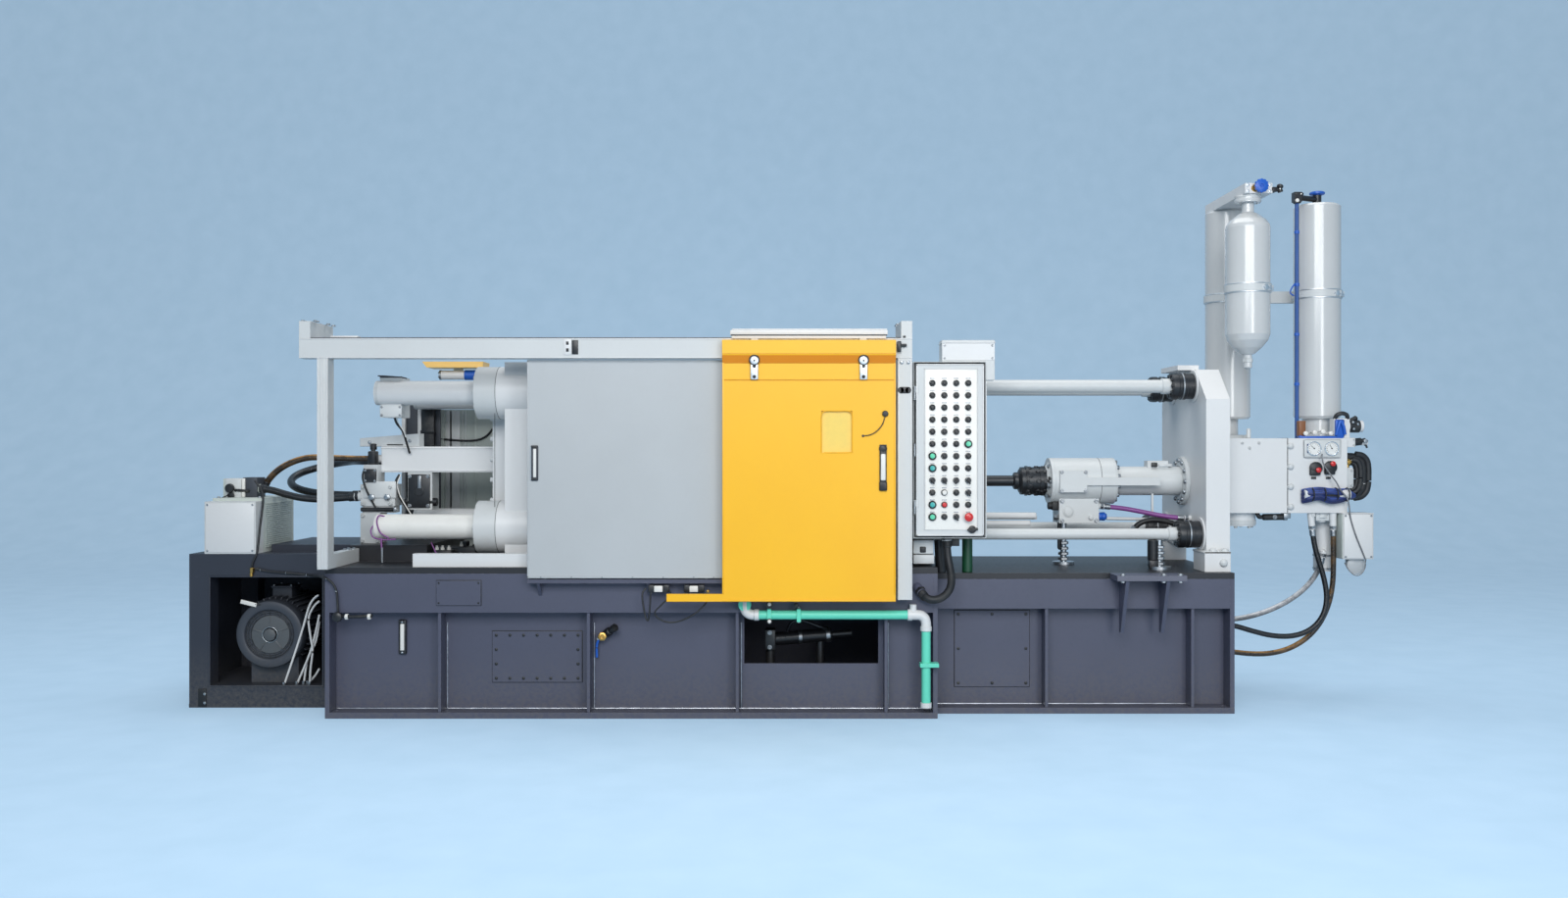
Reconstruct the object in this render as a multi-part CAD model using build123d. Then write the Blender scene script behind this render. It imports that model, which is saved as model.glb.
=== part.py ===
from build123d import *
from math import pi, radians, tan
import os

# Horizontal cold chamber die casting machine, in millimetres, +Z up, +X to the shot end, -Y to the operator.
# The origin is the middle of the bed's underside.

# Bed
bed_left_length = 4050.0
bed_right_length = 2019.0
bed_left_depth = 1670.0
bed_right_depth = 1350.0
bed_left_height = 998.0
deck_step = 51.0
bed_flange_thickness = 40.0
deck_thickness = 40.0
rail_height_left = 258.0
rail_height_right = 200.0
rail_width = 240.0
web_recess = 130.0
web_thickness = 25.0
wall_thickness = 30.0
rib_thickness = 20.0
rib_pitch = 985.0
rib_first = 755.0
rib_edge = 10.0
window_width = 900.0
window_height = 335.0
window_top_gap = 22.0
anchor_hole_d = 34.0
anchor_inset = 60.0
shelf_length = 460.0
shelf_depth = 190.0
shelf_thickness = 36.0
gusset_height = 360.0
gusset_thickness = 24.0
cover_thickness = 10.0
rail_cover_x = 740.0
rail_cover_length = 292.0
rail_cover_z = 50.0
rail_cover_height = 162.0
web_cover_length = 600.0
web_cover_rib_gap = 60.0
web_cover_z = 180.0
web_cover_top_gap = 140.0
right_cover_x = 150.0
right_cover_length = 510.0
right_cover_z = 120.0
right_cover_top_gap = 27.0
shelf_x = 1180.0
shelf_toe = 40.0
gusset_first = 60.0
gusset_pitch = 270.0
deck_box_length = 540.0
deck_box_height = 112.0
deck_box_rear_y = 700.0
ledge_x = 570.0
ledge_length = 2066.0
ledge_height = 88.0
ledge_depth = 70.0
ledge_setback = 35.0
pipe_d = 60.0
pipe_stand_off = 2.0
pipe_left_x = -258.0
pipe_drop_inset = 80.5
pipe_below_rail = 10.0
pipe_riser = 70.0
pipe_end_z = 79.0
pipe_bend = 60.0
pipe_clamp_width = 26.0
pipe_clamp_d = 84.0
pipe_clamp_places = (-97.0, 97.0)

# Power pack
pack_length = 1064.0
pack_depth = 950.0
pack_height = 1059.0
pack_tank_height = 155.0
pack_post = 140.0
pack_plinth_height = 148.0
pack_panel_thickness = 6.0
pack_panel_setback = 12.0
motor_d = 460.0
motor_length = 620.0
motor_axis_z = 497.0
motor_foot_width = 330.0
switch_box_length = 354.0
switch_box_depth = 126.0
switch_box_height = 360.0
cooler_depth = 550.0
cooler_height = 380.0
pack_box_x = 105.0
pack_cover_length = 566.0
pack_cover_height = 51.0
pack_cover_front_y = -300.0
motor_setback = 60.0
motor_foot_setback = 90.0
motor_foot_end = 60.0
pump_length = 150.0
pump_d = 220.0
pack_valve_length = 204.0
pack_valve_depth = 180.0
pack_valve_height = 131.0
pack_valve_y = -180.0
pack_knob_d = 42.0
pack_knob_length = 46.0
pack_fitting_length = 80.0

# Clamp end
machine_axis_height = 709.0
tie_bar_d = 168.0
tie_bar_pitch = 922.0
platen_width = 1200.0
platen_height = 1330.0
platen_thickness = 300.0
die_space = 735.0
toggle_space = 1278.0
boss_d = 359.0
boss_proud = 58.0
tie_nut_length = 149.0
tie_tail_length = 704.0
clamp_cylinder_width = 185.0
clamp_cylinder_length = 846.0
clamp_flange_thickness = 150.0
clamp_flange_height = 655.0
clamp_flange_width = 600.0
platen_foot_width = 260.0
link_width = 120.0
hole_clearance = 0.3
link_spread = 340.0
link_height = 120.0
crosshead_shift = 150.0
crosshead_length = 150.0
crosshead_half = 500.0
crosshead_height = 180.0
crosshead_rod_d = 110.0
crosshead_tie = 160.0
clamp_block_width = 160.0
clamp_block_y = -180.0
upper_block_length = 102.0
upper_block_rise = 55.5
upper_block_height = 140.0
middle_block_left = 123.0
middle_block_right = 122.0
middle_block_height = 154.0
strip_block_height = 49.0
lower_block_length = 140.0
hung_valve_left = 187.0
hung_valve_length = 176.0
hung_valve_height = 269.0
hung_valve_width = 176.0
arm_length = 428.0
arm_width = 120.0
arm_left = 166.0
arm_rise = 94.0
arm_left_height = 60.0
end_box_inset = 33.0
end_box_length = 142.0
end_box_width = 208.0
end_box_front = 30.0
end_box_low = 169.0
end_box_high = 108.0
rear_guard_y = 745.0
rear_guard_thickness = 20.0
rear_guard_height = 1092.0
rear_guard_x = 335.5
rear_guard_post = 36.0
rear_guard_bays = 5
rear_outer_posts = (45.0, 175.0)
canopy_x = 222.0
canopy_length = 474.0
canopy_height = 46.0
canopy_depth = 220.0
canopy_rise = 325.0
air_cylinder_d = 69.0
air_cylinder_length = 293.0
air_cylinder_drop = 53.0
clamp_port_length = 75.0

# Gantry and guards
gantry_front_y = -975.0
gantry_beam_depth = 110.0
gantry_beam_height = 130.0
gantry_rise = 665.0
gantry_left_overhang = 118.0
gantry_lip = 14.0
gantry_web = 20.0
leg_width = 70.0
leg_foot_length = 610.0
leg_foot_height = 92.0
post_setback = 276.5
post_width = 95.0
post_drop = 197.0
cross_block_length = 420.0
cross_block_width = 73.0
cross_block_height = 112.0
door_width = 1121.0
door_thickness = 42.0
door_height = 1690.0
door_top_rise = 113.0
door_gap = 17.0
hanger_width = 45.0
hanger_plate = 12.0
hanger_bar_height = 32.0
hanger_roller_d = 30.0
hanger_inset = 50.0
hood_height = 92.0
hood_depth = 26.0
pane_width = 200.0
pane_height = 270.0
pane_thickness = 8.0
pane_bottom_z = 1758.0
pane_left = 640.0
running_clearance = 8.0
guard_width = 1282.0
guard_thickness = 40.0
guard_height = 1428.0
guard_front_y = -925.0
guard_overlap = 2.0
track_height = 25.0
roller_d = 50.0
roller_width = 14.0
roller_inset = 110.0
track_lip = 10.0
bracket_first = 60.0
bracket_pitch = 720.0
bracket_count = 4
bracket_height = 90.0
hanger_offset = 185.0
hanger_pitch = 705.0
sill_length = 360.0
sill_height = 50.0
sill_thickness = 25.0
handle_width = 45.0
handle_height = 290.0
handle_proud = 14.0
handle_inset = 105.0
handle_z = 725.0
hanger_cover_height = 105.0
hanger_cover_proud = 12.0
guard_handle_height = 220.0
guard_handle_inset = 25.0
guard_handle_z = 644.0

# Control box
panel_setback = 164.5
panel_width = 478.0
panel_height = 1161.0
panel_drop = 512.0
panel_front_y = -875.0
panel_depth = 200.0
panel_sheet = 4.0
panel_door_thickness = 16.0
panel_door_gap = 5.0
panel_margin = 16.0
panel_bracket_height = 500.0
panel_bracket_inset = 30.0
top_box_x = 190.0
top_box_proud = 60.0
top_box_height = 144.0
top_box_depth = 150.0
top_box_setback = 15.0
side_box_height = 120.0
side_box_depth = 100.0
conduit_gland_length = 20.0
hinge_pin_d = 12.0
hinge_knuckle_d = 18.0
hinge_length = 90.0
hinge_inset = 4.0
hinge_leaf_width = 30.0
hinge_offset = 206.0
button_rows = 12
button_columns = 4
button_pitch_x = 78.5
button_pitch_z = 79.7
button_d = 32.0
button_height = 22.0

# Shot end
shot_axis_drop = 156.0
sleeve_outer_d = 160.0
sleeve_bore_d = 90.0
sleeve_left_proud = 15.0
sleeve_right_proud = 190.0
pour_hole_gap = 20.0
pour_hole_length = 76.0
pour_hole_width = 66.0
plunger_rod_d = 78.0
plunger_tip_length = 75.0
piston_rod_d = 110.0
piston_d = 150.0
piston_length = 80.0
fit_clearance = 0.08
coupling_offset = 700.0
coupling_length = 190.0
coupling_d = 200.0
cylinder_gap = 10.0
drum_d = 332.0
drum_length = 355.0
flange_length = 115.0
tube_d = 209.0
cylinder_head_length = 100.0
cylinder_end_wall = 30.0
piston_rest_gap = 60.0
tip_inset = 5.0
shot_frame_overhang = 27.0
shot_frame_thickness = 164.0
shot_frame_width = 1020.0
shot_frame_height = 1259.0
shot_frame_shoulder = 216.0
shot_frame_chamfer = 230.0
pedestal_height = 135.0
pedestal_proud = 90.0
pedestal_width = 176.0
pedestal_depth = 240.0
upper_rod_d = 92.0
upper_rod_y = 245.0
upper_rod_rise = 674.0
lower_rod_d = 78.0
lower_rod_y = 394.0
lower_rod_drop = 360.0
rod_nut_d = 180.0
rod_nut_length = 170.0
jack_d = 46.0
jack_foot_d = 156.0
jack_foot_height = 20.0
first_jack_x = 113.0
second_jack_gap = 290.0
shot_block_x = 60.0
shot_block_length = 285.0
shot_block_width = 220.0
shot_block_overlap = 40.0
shot_block_rod_gap = 20.0
tray_top_drop = 251.0
tray_thickness = 27.0
tray_width = 120.0
tray_overlap = 110.0
side_plate_x = 52.0
side_plate_length = 192.0
side_plate_height = 156.0
side_plate_proud = 16.0
side_bar_length = 520.0
side_bar_height = 58.0
tube_block_length = 150.0
tube_block_height = 42.0
tube_block_width = 90.0
tube_block_gap = 120.0
top_plate_length = 150.0
top_plate_height = 36.0
top_plate_width = 400.0

# Hydraulic end
block_drop = 222.0
block_rise = 307.0
block_front_y = -250.0
block_rear_y = 500.0
inner_block_length = 497.0
outer_block_length = 422.0
outer_block_rear_y = 250.0
bottle_d = 325.0
bottle_neck_d = 150.0
bottle_neck_length = 147.0
bottle_length = 1555.0
bottle_round = 15.0
rear_bottle_offset = 275.0
rear_bottle_y = 330.0
side_bottle_offset = 342.0
side_bottle_y = 70.0
bladder_offset = 201.0
bladder_y = -290.0
bladder_d = 300.0
bladder_length = 1000.0
bladder_neck_length = 116.0
bladder_valve_length = 90.0
bladder_valve_d = 58.0
bladder_dome = 140.0
bladder_shoulder = 110.0
bladder_dome_profile = ((0.3, 0.03), (0.62, 0.33), (0.9, 0.7), (1.0, 1.0))
bladder_shoulder_profile = ((1.0, 1.0), (0.97, 0.8), (0.81, 0.5), (0.45, 0.1))
bladder_neck_d = 84.0
bladder_flange_d = 176.0
bladder_flange_height = 50.0
manifold_width = 190.0
manifold_height = 70.0
manifold_overhang = 110.0
clamp_band_height = 50.0
clamp_band_thickness = 9.0
clamp_band_drop = 655.0
clamp_bar_height = 86.0
clamp_bar_thickness = 40.0
clamp_bar_y = 180.0
gas_pipe_d = 28.0
gas_pipe_gap = 21.5
gas_pipe_y = -20.0
gas_pipe_top_gap = 10.0
bottle_valve_d = 60.0
bottle_valve_height = 80.0
gas_fitting = 55.0
gas_link_d = 40.0
cap_d = 235.0
cap_height = 96.0
cap_x = 209.0
cap_y = -80.0
drain_d = 145.0
drain_length = 424.0
drain_x_gap = 85.0
drain_y = -60.0
relay_box_x = 375.0
relay_box_length = 213.0
relay_box_depth = 150.0
relay_box_height = 322.0
relay_box_proud = 40.0
side_block_length = 60.0
side_block_depth = 140.0
side_block_height = 145.0
side_block_z = 176.0
side_block_y = -200.0
port_block_length = 74.0
port_block_height = 62.0
port_block_depth = 80.0
port_pipe_d = 40.0
port_pipe_length = 106.0
gauge_plate_x = 115.0
gauge_plate_length = 249.0
gauge_plate_height = 117.0
gauge_plate_top_gap = 14.0
gauge_plate_thickness = 12.0
gauge_d = 96.0
gauge_depth = 14.0
top_valve_length = 111.0
top_valve_depth = 80.0
top_valve_height = 142.0
top_valve_y = -165.0
top_coil_d = 84.0
top_coil_length = 104.0
top_coil_rise = 107.0
loop_d = 62.0
loop_reach = 147.0
loop_high = 393.0
loop_low = 125.0
loop_y = -160.0
bundle_x = 101.0
bundle_d = 66.0
bundle_z = 134.0
saddle_width = 30.0

# Flexible hoses and the conduit: diameters, and the points that their straight runs pass through
hose_arc_share = 0.45
hose_fitting_length = 45.0
hose_fitting_factor = 1.25
upper_hose_d = 46.0
upper_hose = [(-3760, -40, 1507), (-3722.5, -40, 1572), (-3633, -42, 1652), (-3514.5, -46, 1705),
              (-3390, -49, 1727), (-3165, -50, 1711), (-2954.5, -50, 1711)]
loop_hose_d = 54.0
loop_hose = [(-3061.5, -75, 1450), (-3180, -75, 1450), (-3380, -58, 1462), (-3550, 5, 1495), (-3640, 120, 1545),
             (-3625, 250, 1598), (-3510, 335, 1643), (-3350, 320, 1674), (-3215, 225, 1690), (-3120, 110, 1693),
             (-3035, 60, 1690), (-2954.5, 55, 1690)]
lower_hose_d = 50.0
lower_hose = [(-3742, -150, 1500), (-3665, -150, 1492), (-3560, -152, 1458), (-3440, -155, 1430),
              (-3300, -157, 1422), (-3170, -158, 1432), (-3061.5, -158, 1440)]
pale_hose_d = 37.0
pale_hose = [(3079.5, -160, 562), (3210, -160, 564), (3390, -160, 602), (3550, -160, 668), (3680, -161, 752),
             (3770, -163, 845), (3820, -166, 935), (3836, -168, 1010)]
left_hose_d = 37.0
left_hose = [(3079.5, -230, 545), (3180, -232, 536), (3310, -238, 495), (3460, -244, 458), (3610, -247, 458),
             (3735, -249, 508), (3815, -249, 605), (3842, -246, 730), (3822, -238, 870), (3783, -228, 1005),
             (3756, -220, 1120), (3747, -217, 1210)]
right_hose_d = 37.0
right_hose = [(3079.5, -195, 352), (3190, -195, 340), (3330, -194, 324), (3470, -193, 328), (3605, -192, 365),
              (3730, -192, 443), (3822, -193, 555), (3878, -196, 690), (3900, -202, 830), (3901, -209, 970),
              (3898, -214, 1095), (3895, -216, 1210)]
conduit_d = 52.0
conduit_fitting_length = 75.0
conduit = [(1080, -800, 1175), (1083, -802, 1085), (1098, -825, 1000), (1106, -865, 925), (1088, -905, 858),
           (1035, -930, 808), (968, -935, 793), (922, -915, 812), (905, -880, 835)]
charge_hose_d = 34.0
charge_hose = [(2305.5, -70, 1368), (2420, -76, 1359), (2560, -103, 1333), (2695, -142, 1305), (2800, -166, 1292),
               (2852, -170, 1290)]

# Worked out from the sizes above
bed_x0 = -(bed_left_length + bed_right_length) / 2
bed_x1 = -bed_x0
bed_split = bed_x0 + bed_left_length
left_half = bed_left_depth / 2
right_half = bed_right_depth / 2
bed_right_height = bed_left_height - deck_step
left_rail_bottom = bed_left_height - deck_thickness - rail_height_left
right_rail_bottom = bed_right_height - deck_thickness - rail_height_right
window_x = bed_x0 + rib_first + 2.5 * rib_pitch
machine_axis_z = bed_left_height + machine_axis_height
shot_axis_z = machine_axis_z - shot_axis_drop
left_web = left_half - web_recess
right_web = right_half - web_recess
tie_half = tie_bar_pitch / 2
tie_spots = [(y, machine_axis_z + z) for y in (-tie_half, tie_half) for z in (-tie_half, tie_half)]
fixed_platen_right = bed_split
fixed_left = fixed_platen_right - platen_thickness
moving_right = fixed_left - die_space
moving_left = moving_right - platen_thickness
tail_right = moving_left - toggle_space
tail_left = tail_right - platen_thickness
boss_left = tail_left - boss_proud
nut_left = boss_left - tie_nut_length
platen_bottom = machine_axis_z - platen_height / 2
platen_half = platen_width / 2
flange_left = tail_left - clamp_flange_thickness
clamp_end_x = flange_left - clamp_cylinder_length
clamp_top = machine_axis_z + clamp_cylinder_width / 2
clamp_bottom = machine_axis_z - clamp_cylinder_width / 2
tie_tail_x = nut_left - tie_tail_length
post_left_x = bed_split - post_setback
post_bottom_z = bed_left_height - post_drop
gantry_underside_z = machine_axis_z + gantry_rise
gantry_x0 = bed_x0 - gantry_left_overhang
gantry_x1 = post_left_x + post_width
gantry_rear_y = gantry_front_y + gantry_beam_depth
gantry_top_z = gantry_underside_z + gantry_beam_height
door_top_z = gantry_underside_z + door_top_rise
door_bottom_z = door_top_z - door_height
door_x1 = post_left_x - door_gap
door_x0 = door_x1 - door_width
door_back_y = gantry_front_y - running_clearance
door_front_y = door_back_y - door_thickness
guard_x1 = door_x0 + guard_overlap
guard_left_x = guard_x1 - guard_width
guard_back_y = guard_front_y + guard_thickness
guard_top_z = gantry_underside_z - running_clearance
guard_bottom_z = guard_top_z - guard_height
panel_left_x = bed_split - panel_setback
panel_bottom_z = machine_axis_z - panel_drop
coupling_left_x = fixed_platen_right + coupling_offset
shot_frame_x1 = bed_x1 + shot_frame_overhang
shot_frame_left_x = shot_frame_x1 - shot_frame_thickness
shot_frame_bottom_z = bed_right_height + pedestal_height
shot_frame_top_z = shot_frame_bottom_z + shot_frame_height
shot_frame_shoulder_z = shot_frame_top_z - shot_frame_shoulder
upper_rod_z = shot_axis_z + upper_rod_rise
lower_rod_z = shot_axis_z - lower_rod_drop
cylinder_x0 = coupling_left_x + coupling_length + cylinder_gap
cylinder_bore_end = shot_frame_left_x - cylinder_end_wall
inner_block_x1 = shot_frame_x1 + inner_block_length
outer_block_x1 = inner_block_x1 + outer_block_length
block_bottom_z = shot_axis_z - block_drop
block_top_z = shot_axis_z + block_rise
bottle_bottom_z = block_top_z + bottle_neck_length
bottle_top_z = bottle_bottom_z + bottle_length
rear_bottle_x = shot_frame_x1 + rear_bottle_offset
side_bottle_x = inner_block_x1 + side_bottle_offset
bladder_x = shot_frame_x1 + bladder_offset
bladder_shoulder_z = bottle_top_z - bladder_neck_length
bladder_bottom_z = bladder_shoulder_z - bladder_length
clamp_band_z = bottle_top_z - clamp_band_drop
pack_x0 = bed_x0 - pack_length
pack_half = pack_depth / 2


def block(x0, x1, y0, y1, z0, z1):
    """A box between two corners."""
    return Pos((x0 + x1) / 2, (y0 + y1) / 2, (z0 + z1) / 2) * Box(x1 - x0, y1 - y0, z1 - z0)


def bar_x(x0, x1, y, z, d):
    """A round bar along X."""
    return Pos((x0 + x1) / 2, y, z) * Rot(0, 90, 0) * Cylinder(d / 2, x1 - x0)


def bar_y(x, y0, y1, z, d):
    """A round bar along Y."""
    return Pos(x, (y0 + y1) / 2, z) * Rot(90, 0, 0) * Cylinder(d / 2, y1 - y0)


def bar_z(x, y, z0, z1, d):
    """A round bar along Z."""
    return Pos(x, y, (z0 + z1) / 2) * Cylinder(d / 2, z1 - z0)


def prism_x(outline, x0, x1):
    """An outline in Y and Z, carried along X."""
    face = Plane.YZ * make_face(Polyline(*outline, close=True))
    return Pos(x0, 0, 0) * extrude(face, x1 - x0)


def prism_y(outline, y0, y1):
    """An outline in X and Z, carried along Y."""
    face = Plane.XZ * make_face(Polyline(*outline, close=True))
    return Pos(0, y1, 0) * extrude(face, y1 - y0)


def turned_z(outline, x, y):
    """A profile of radius and height, turned about a vertical axis."""
    face = Plane.XZ * make_face(Polyline(*outline, close=True))
    return Pos(x, y, 0) * revolve(face, Axis.Z)


def bar_between(start, end, d):
    """A round bar from one point to another."""
    a, b = Vector(*start), Vector(*end)
    return Plane(origin=a, z_dir=b - a) * Pos(0, 0, (b - a).length / 2) * Cylinder(d / 2, (b - a).length)


def pipe_along(points, radii, d):
    """A round tube's solid along straight runs joined by arcs."""
    corners = [Vector(*point) for point in points]
    path = FilletPolyline(*corners, radius=radii)
    return sweep(Plane(origin=corners[0], z_dir=corners[1] - corners[0]) * Circle(d / 2), path=path), path.length


def hose(name, points, d):
    """A flexible hose: each of its arcs is as large as the two runs beside it allow."""
    corners = [Vector(*point) for point in points]
    runs = [b - a for a, b in zip(corners, corners[1:])]
    radii = [
        hose_arc_share * min(a.length, b.length) / tan(radians(a.get_angle(b)) / 2)
        for a, b in zip(runs, runs[1:])
    ]
    tube, length = pipe_along(points, radii, d)
    print(name, "length", round(length), "runs", [round(run.length) for run in runs],
          "radii over diameter", [round(radius / d, 1) for radius in radii],
          "volume over section times length", round(tube.volume / (pi * d * d / 4 * length), 4))
    save(name, tube)


def start_fitting(points, d, length=hose_fitting_length):
    """A hose's end fitting, in line with its first run and on the side away from the hose."""
    a, b = Vector(*points[0]), Vector(*points[1])
    return bar_between(a - (b - a).normalized() * length, a, d * hose_fitting_factor)


def end_fitting(points, d, length=hose_fitting_length):
    return start_fitting(points[::-1], d, length)


def save(name, *pieces):
    """Writes one node, whose pieces are separate solids."""
    solids = [solid for piece in pieces for solid in piece.solids()]
    shape = solids[0] if len(solids) == 1 else Compound(children=solids)
    export_step(shape, f"parts/{name}.step")


def mirrored(piece):
    """The same piece on the other side of the machine's middle plane."""
    return mirror(piece, about=Plane.XZ)


def both_sides(piece):
    return [piece, mirrored(piece)]


def bed():
    flange_top = bed_flange_thickness
    anchors = [
        (x, side * (half - anchor_inset))
        for x0, x1, half in ((bed_x0, bed_split, left_half), (bed_split, bed_x1, right_half))
        for x in (x0 + anchor_inset, x1 - anchor_inset)
        for side in (-1, 1)
    ]
    plate = block(bed_x0, bed_split, -left_half, left_half, 0, flange_top)
    plate += block(bed_split, bed_x1, -right_half, right_half, 0, flange_top)
    for x, y in anchors:
        plate -= bar_z(x, y, -1, flange_top + 1, anchor_hole_d)
    save("bed_base_plate", plate)

    inner_x0 = bed_x0 + wall_thickness
    inner_split = bed_split - wall_thickness
    inner_x1 = bed_x1 - wall_thickness
    left_front = block(inner_x0, inner_split, -left_web, -left_web + web_thickness, flange_top,
                       left_rail_bottom)
    right_front = block(bed_split, inner_x1, -right_web, -right_web + web_thickness, flange_top,
                        right_rail_bottom)
    window_top = left_rail_bottom - window_top_gap
    window = block(window_x - window_width / 2, window_x + window_width / 2, -left_web - web_thickness,
                   -left_web + 2 * web_thickness, window_top - window_height, window_top)
    save("bed_webs", left_front - window, right_front, mirrored(left_front), mirrored(right_front))

    rails = []
    for x0, x1, half, z0, height in (
        (inner_x0, inner_split, left_half, left_rail_bottom, rail_height_left),
        (bed_split, inner_x1, right_half, right_rail_bottom, rail_height_right),
    ):
        rails += both_sides(block(x0, x1, -half, -half + rail_width, z0, z0 + height))
    rails[0] += end_fitting(conduit, conduit_d, conduit_fitting_length)
    save("bed_top_rails", *rails)

    walls = [
        block(bed_x0, inner_x0, -left_half, left_half, flange_top, bed_left_height - deck_thickness),
        block(inner_split, bed_split, -left_half, left_half, flange_top, bed_left_height - deck_thickness),
        block(inner_x1, bed_x1, -right_half, right_half, flange_top, bed_right_height - deck_thickness),
    ]
    for x, web, half, low, top in (
        (bed_x0 + rib_first, left_web, left_half, left_rail_bottom, bed_left_height),
        (bed_x0 + rib_first + rib_pitch, left_web, left_half, left_rail_bottom, bed_left_height),
        (bed_split + bed_right_length / 2, right_web, right_half, right_rail_bottom, bed_right_height),
    ):
        wide = web - web_thickness
        narrow = half - rail_width
        foot = block(x, x + wall_thickness, -wide, wide, flange_top, low)
        walls.append(foot + block(x, x + wall_thickness, -narrow, narrow, low, top - deck_thickness))
    for points, d in ((pale_hose, pale_hose_d), (left_hose, left_hose_d), (right_hose, right_hose_d)):
        walls[2] += start_fitting(points, d, hose_fitting_length + wall_thickness / 2)

    ribs = []
    for i in range(4):
        x = bed_x0 + rib_first + i * rib_pitch
        ribs += both_sides(block(x - rib_thickness / 2, x + rib_thickness / 2, -left_half + rib_edge,
                                 -left_web, flange_top, left_rail_bottom))
    for i in range(2):
        x = bed_split + rib_first + i * rib_pitch
        ribs += both_sides(block(x - rib_thickness / 2, x + rib_thickness / 2, -right_half + rib_edge,
                                 -right_web, flange_top, right_rail_bottom))
    save("bed_walls", *walls, *ribs)

    deck = block(bed_x0, bed_split, -left_half, left_half, bed_left_height - deck_thickness, bed_left_height)
    right_deck = block(bed_split, bed_x1, -right_half, right_half, bed_right_height - deck_thickness,
                       bed_right_height)
    box_y0 = gantry_front_y + leg_foot_length + cover_thickness
    deck_box = block(bed_x0, bed_x0 + deck_box_length, box_y0, deck_box_rear_y, bed_left_height,
                     bed_left_height + deck_box_height)
    save("bed_deck", deck, right_deck, deck_box)

    rib_x = bed_x0 + rib_first + rib_pitch
    covers = [
        block(bed_x0 + rail_cover_x, bed_x0 + rail_cover_x + rail_cover_length, -left_half - cover_thickness,
              -left_half, left_rail_bottom + rail_cover_z, left_rail_bottom + rail_cover_z + rail_cover_height),
        block(rib_x - web_cover_rib_gap - web_cover_length, rib_x - web_cover_rib_gap,
              -left_web - cover_thickness, -left_web, flange_top + web_cover_z,
              left_rail_bottom - web_cover_top_gap),
        block(bed_split + right_cover_x, bed_split + right_cover_x + right_cover_length,
              -right_web - cover_thickness, -right_web, flange_top + right_cover_z,
              right_rail_bottom - right_cover_top_gap),
    ]
    shelf_x0 = bed_split + shelf_x
    under = bed_right_height - shelf_thickness
    shelf = block(shelf_x0, shelf_x0 + shelf_length, -right_half - shelf_depth, -right_half, under,
                  bed_right_height)
    gusset = [(-right_half, under), (-right_half - shelf_depth + rib_edge, under),
              (-right_half - shelf_toe, under - gusset_height), (-right_half, under - gusset_height)]
    for i in range(2):
        x = shelf_x0 + gusset_first + i * gusset_pitch
        shelf += prism_x(gusset, x, x + gusset_thickness)
    save("bed_fittings", *covers, shelf)


def water_pipes():
    """The cooling water pipe along the bed's front, and down at its step."""
    y = -left_half - pipe_stand_off - pipe_d / 2
    low = left_rail_bottom - pipe_below_rail
    drop_x = bed_split - pipe_drop_inset
    route = [(pipe_left_x, y, low + pipe_riser), (pipe_left_x, y, low), (drop_x, y, low),
             (drop_x, y, pipe_end_z)]
    pipe, _ = pipe_along(route, [pipe_bend, pipe_bend], pipe_d)
    pipe += bar_y(pipe_left_x, y - pipe_d / 2, -left_half, low + pipe_riser, pipe_clamp_d)
    half = pipe_clamp_d / 2
    for x in pipe_clamp_places:
        pipe += block(x - pipe_clamp_width / 2, x + pipe_clamp_width / 2, y - half, -left_half, low - half,
                      low + half)
    z = left_rail_bottom / 2
    pipe += block(drop_x - half, bed_split, y - half, -left_half, z, z + pipe_clamp_width)
    save("water_pipes", pipe)


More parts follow.
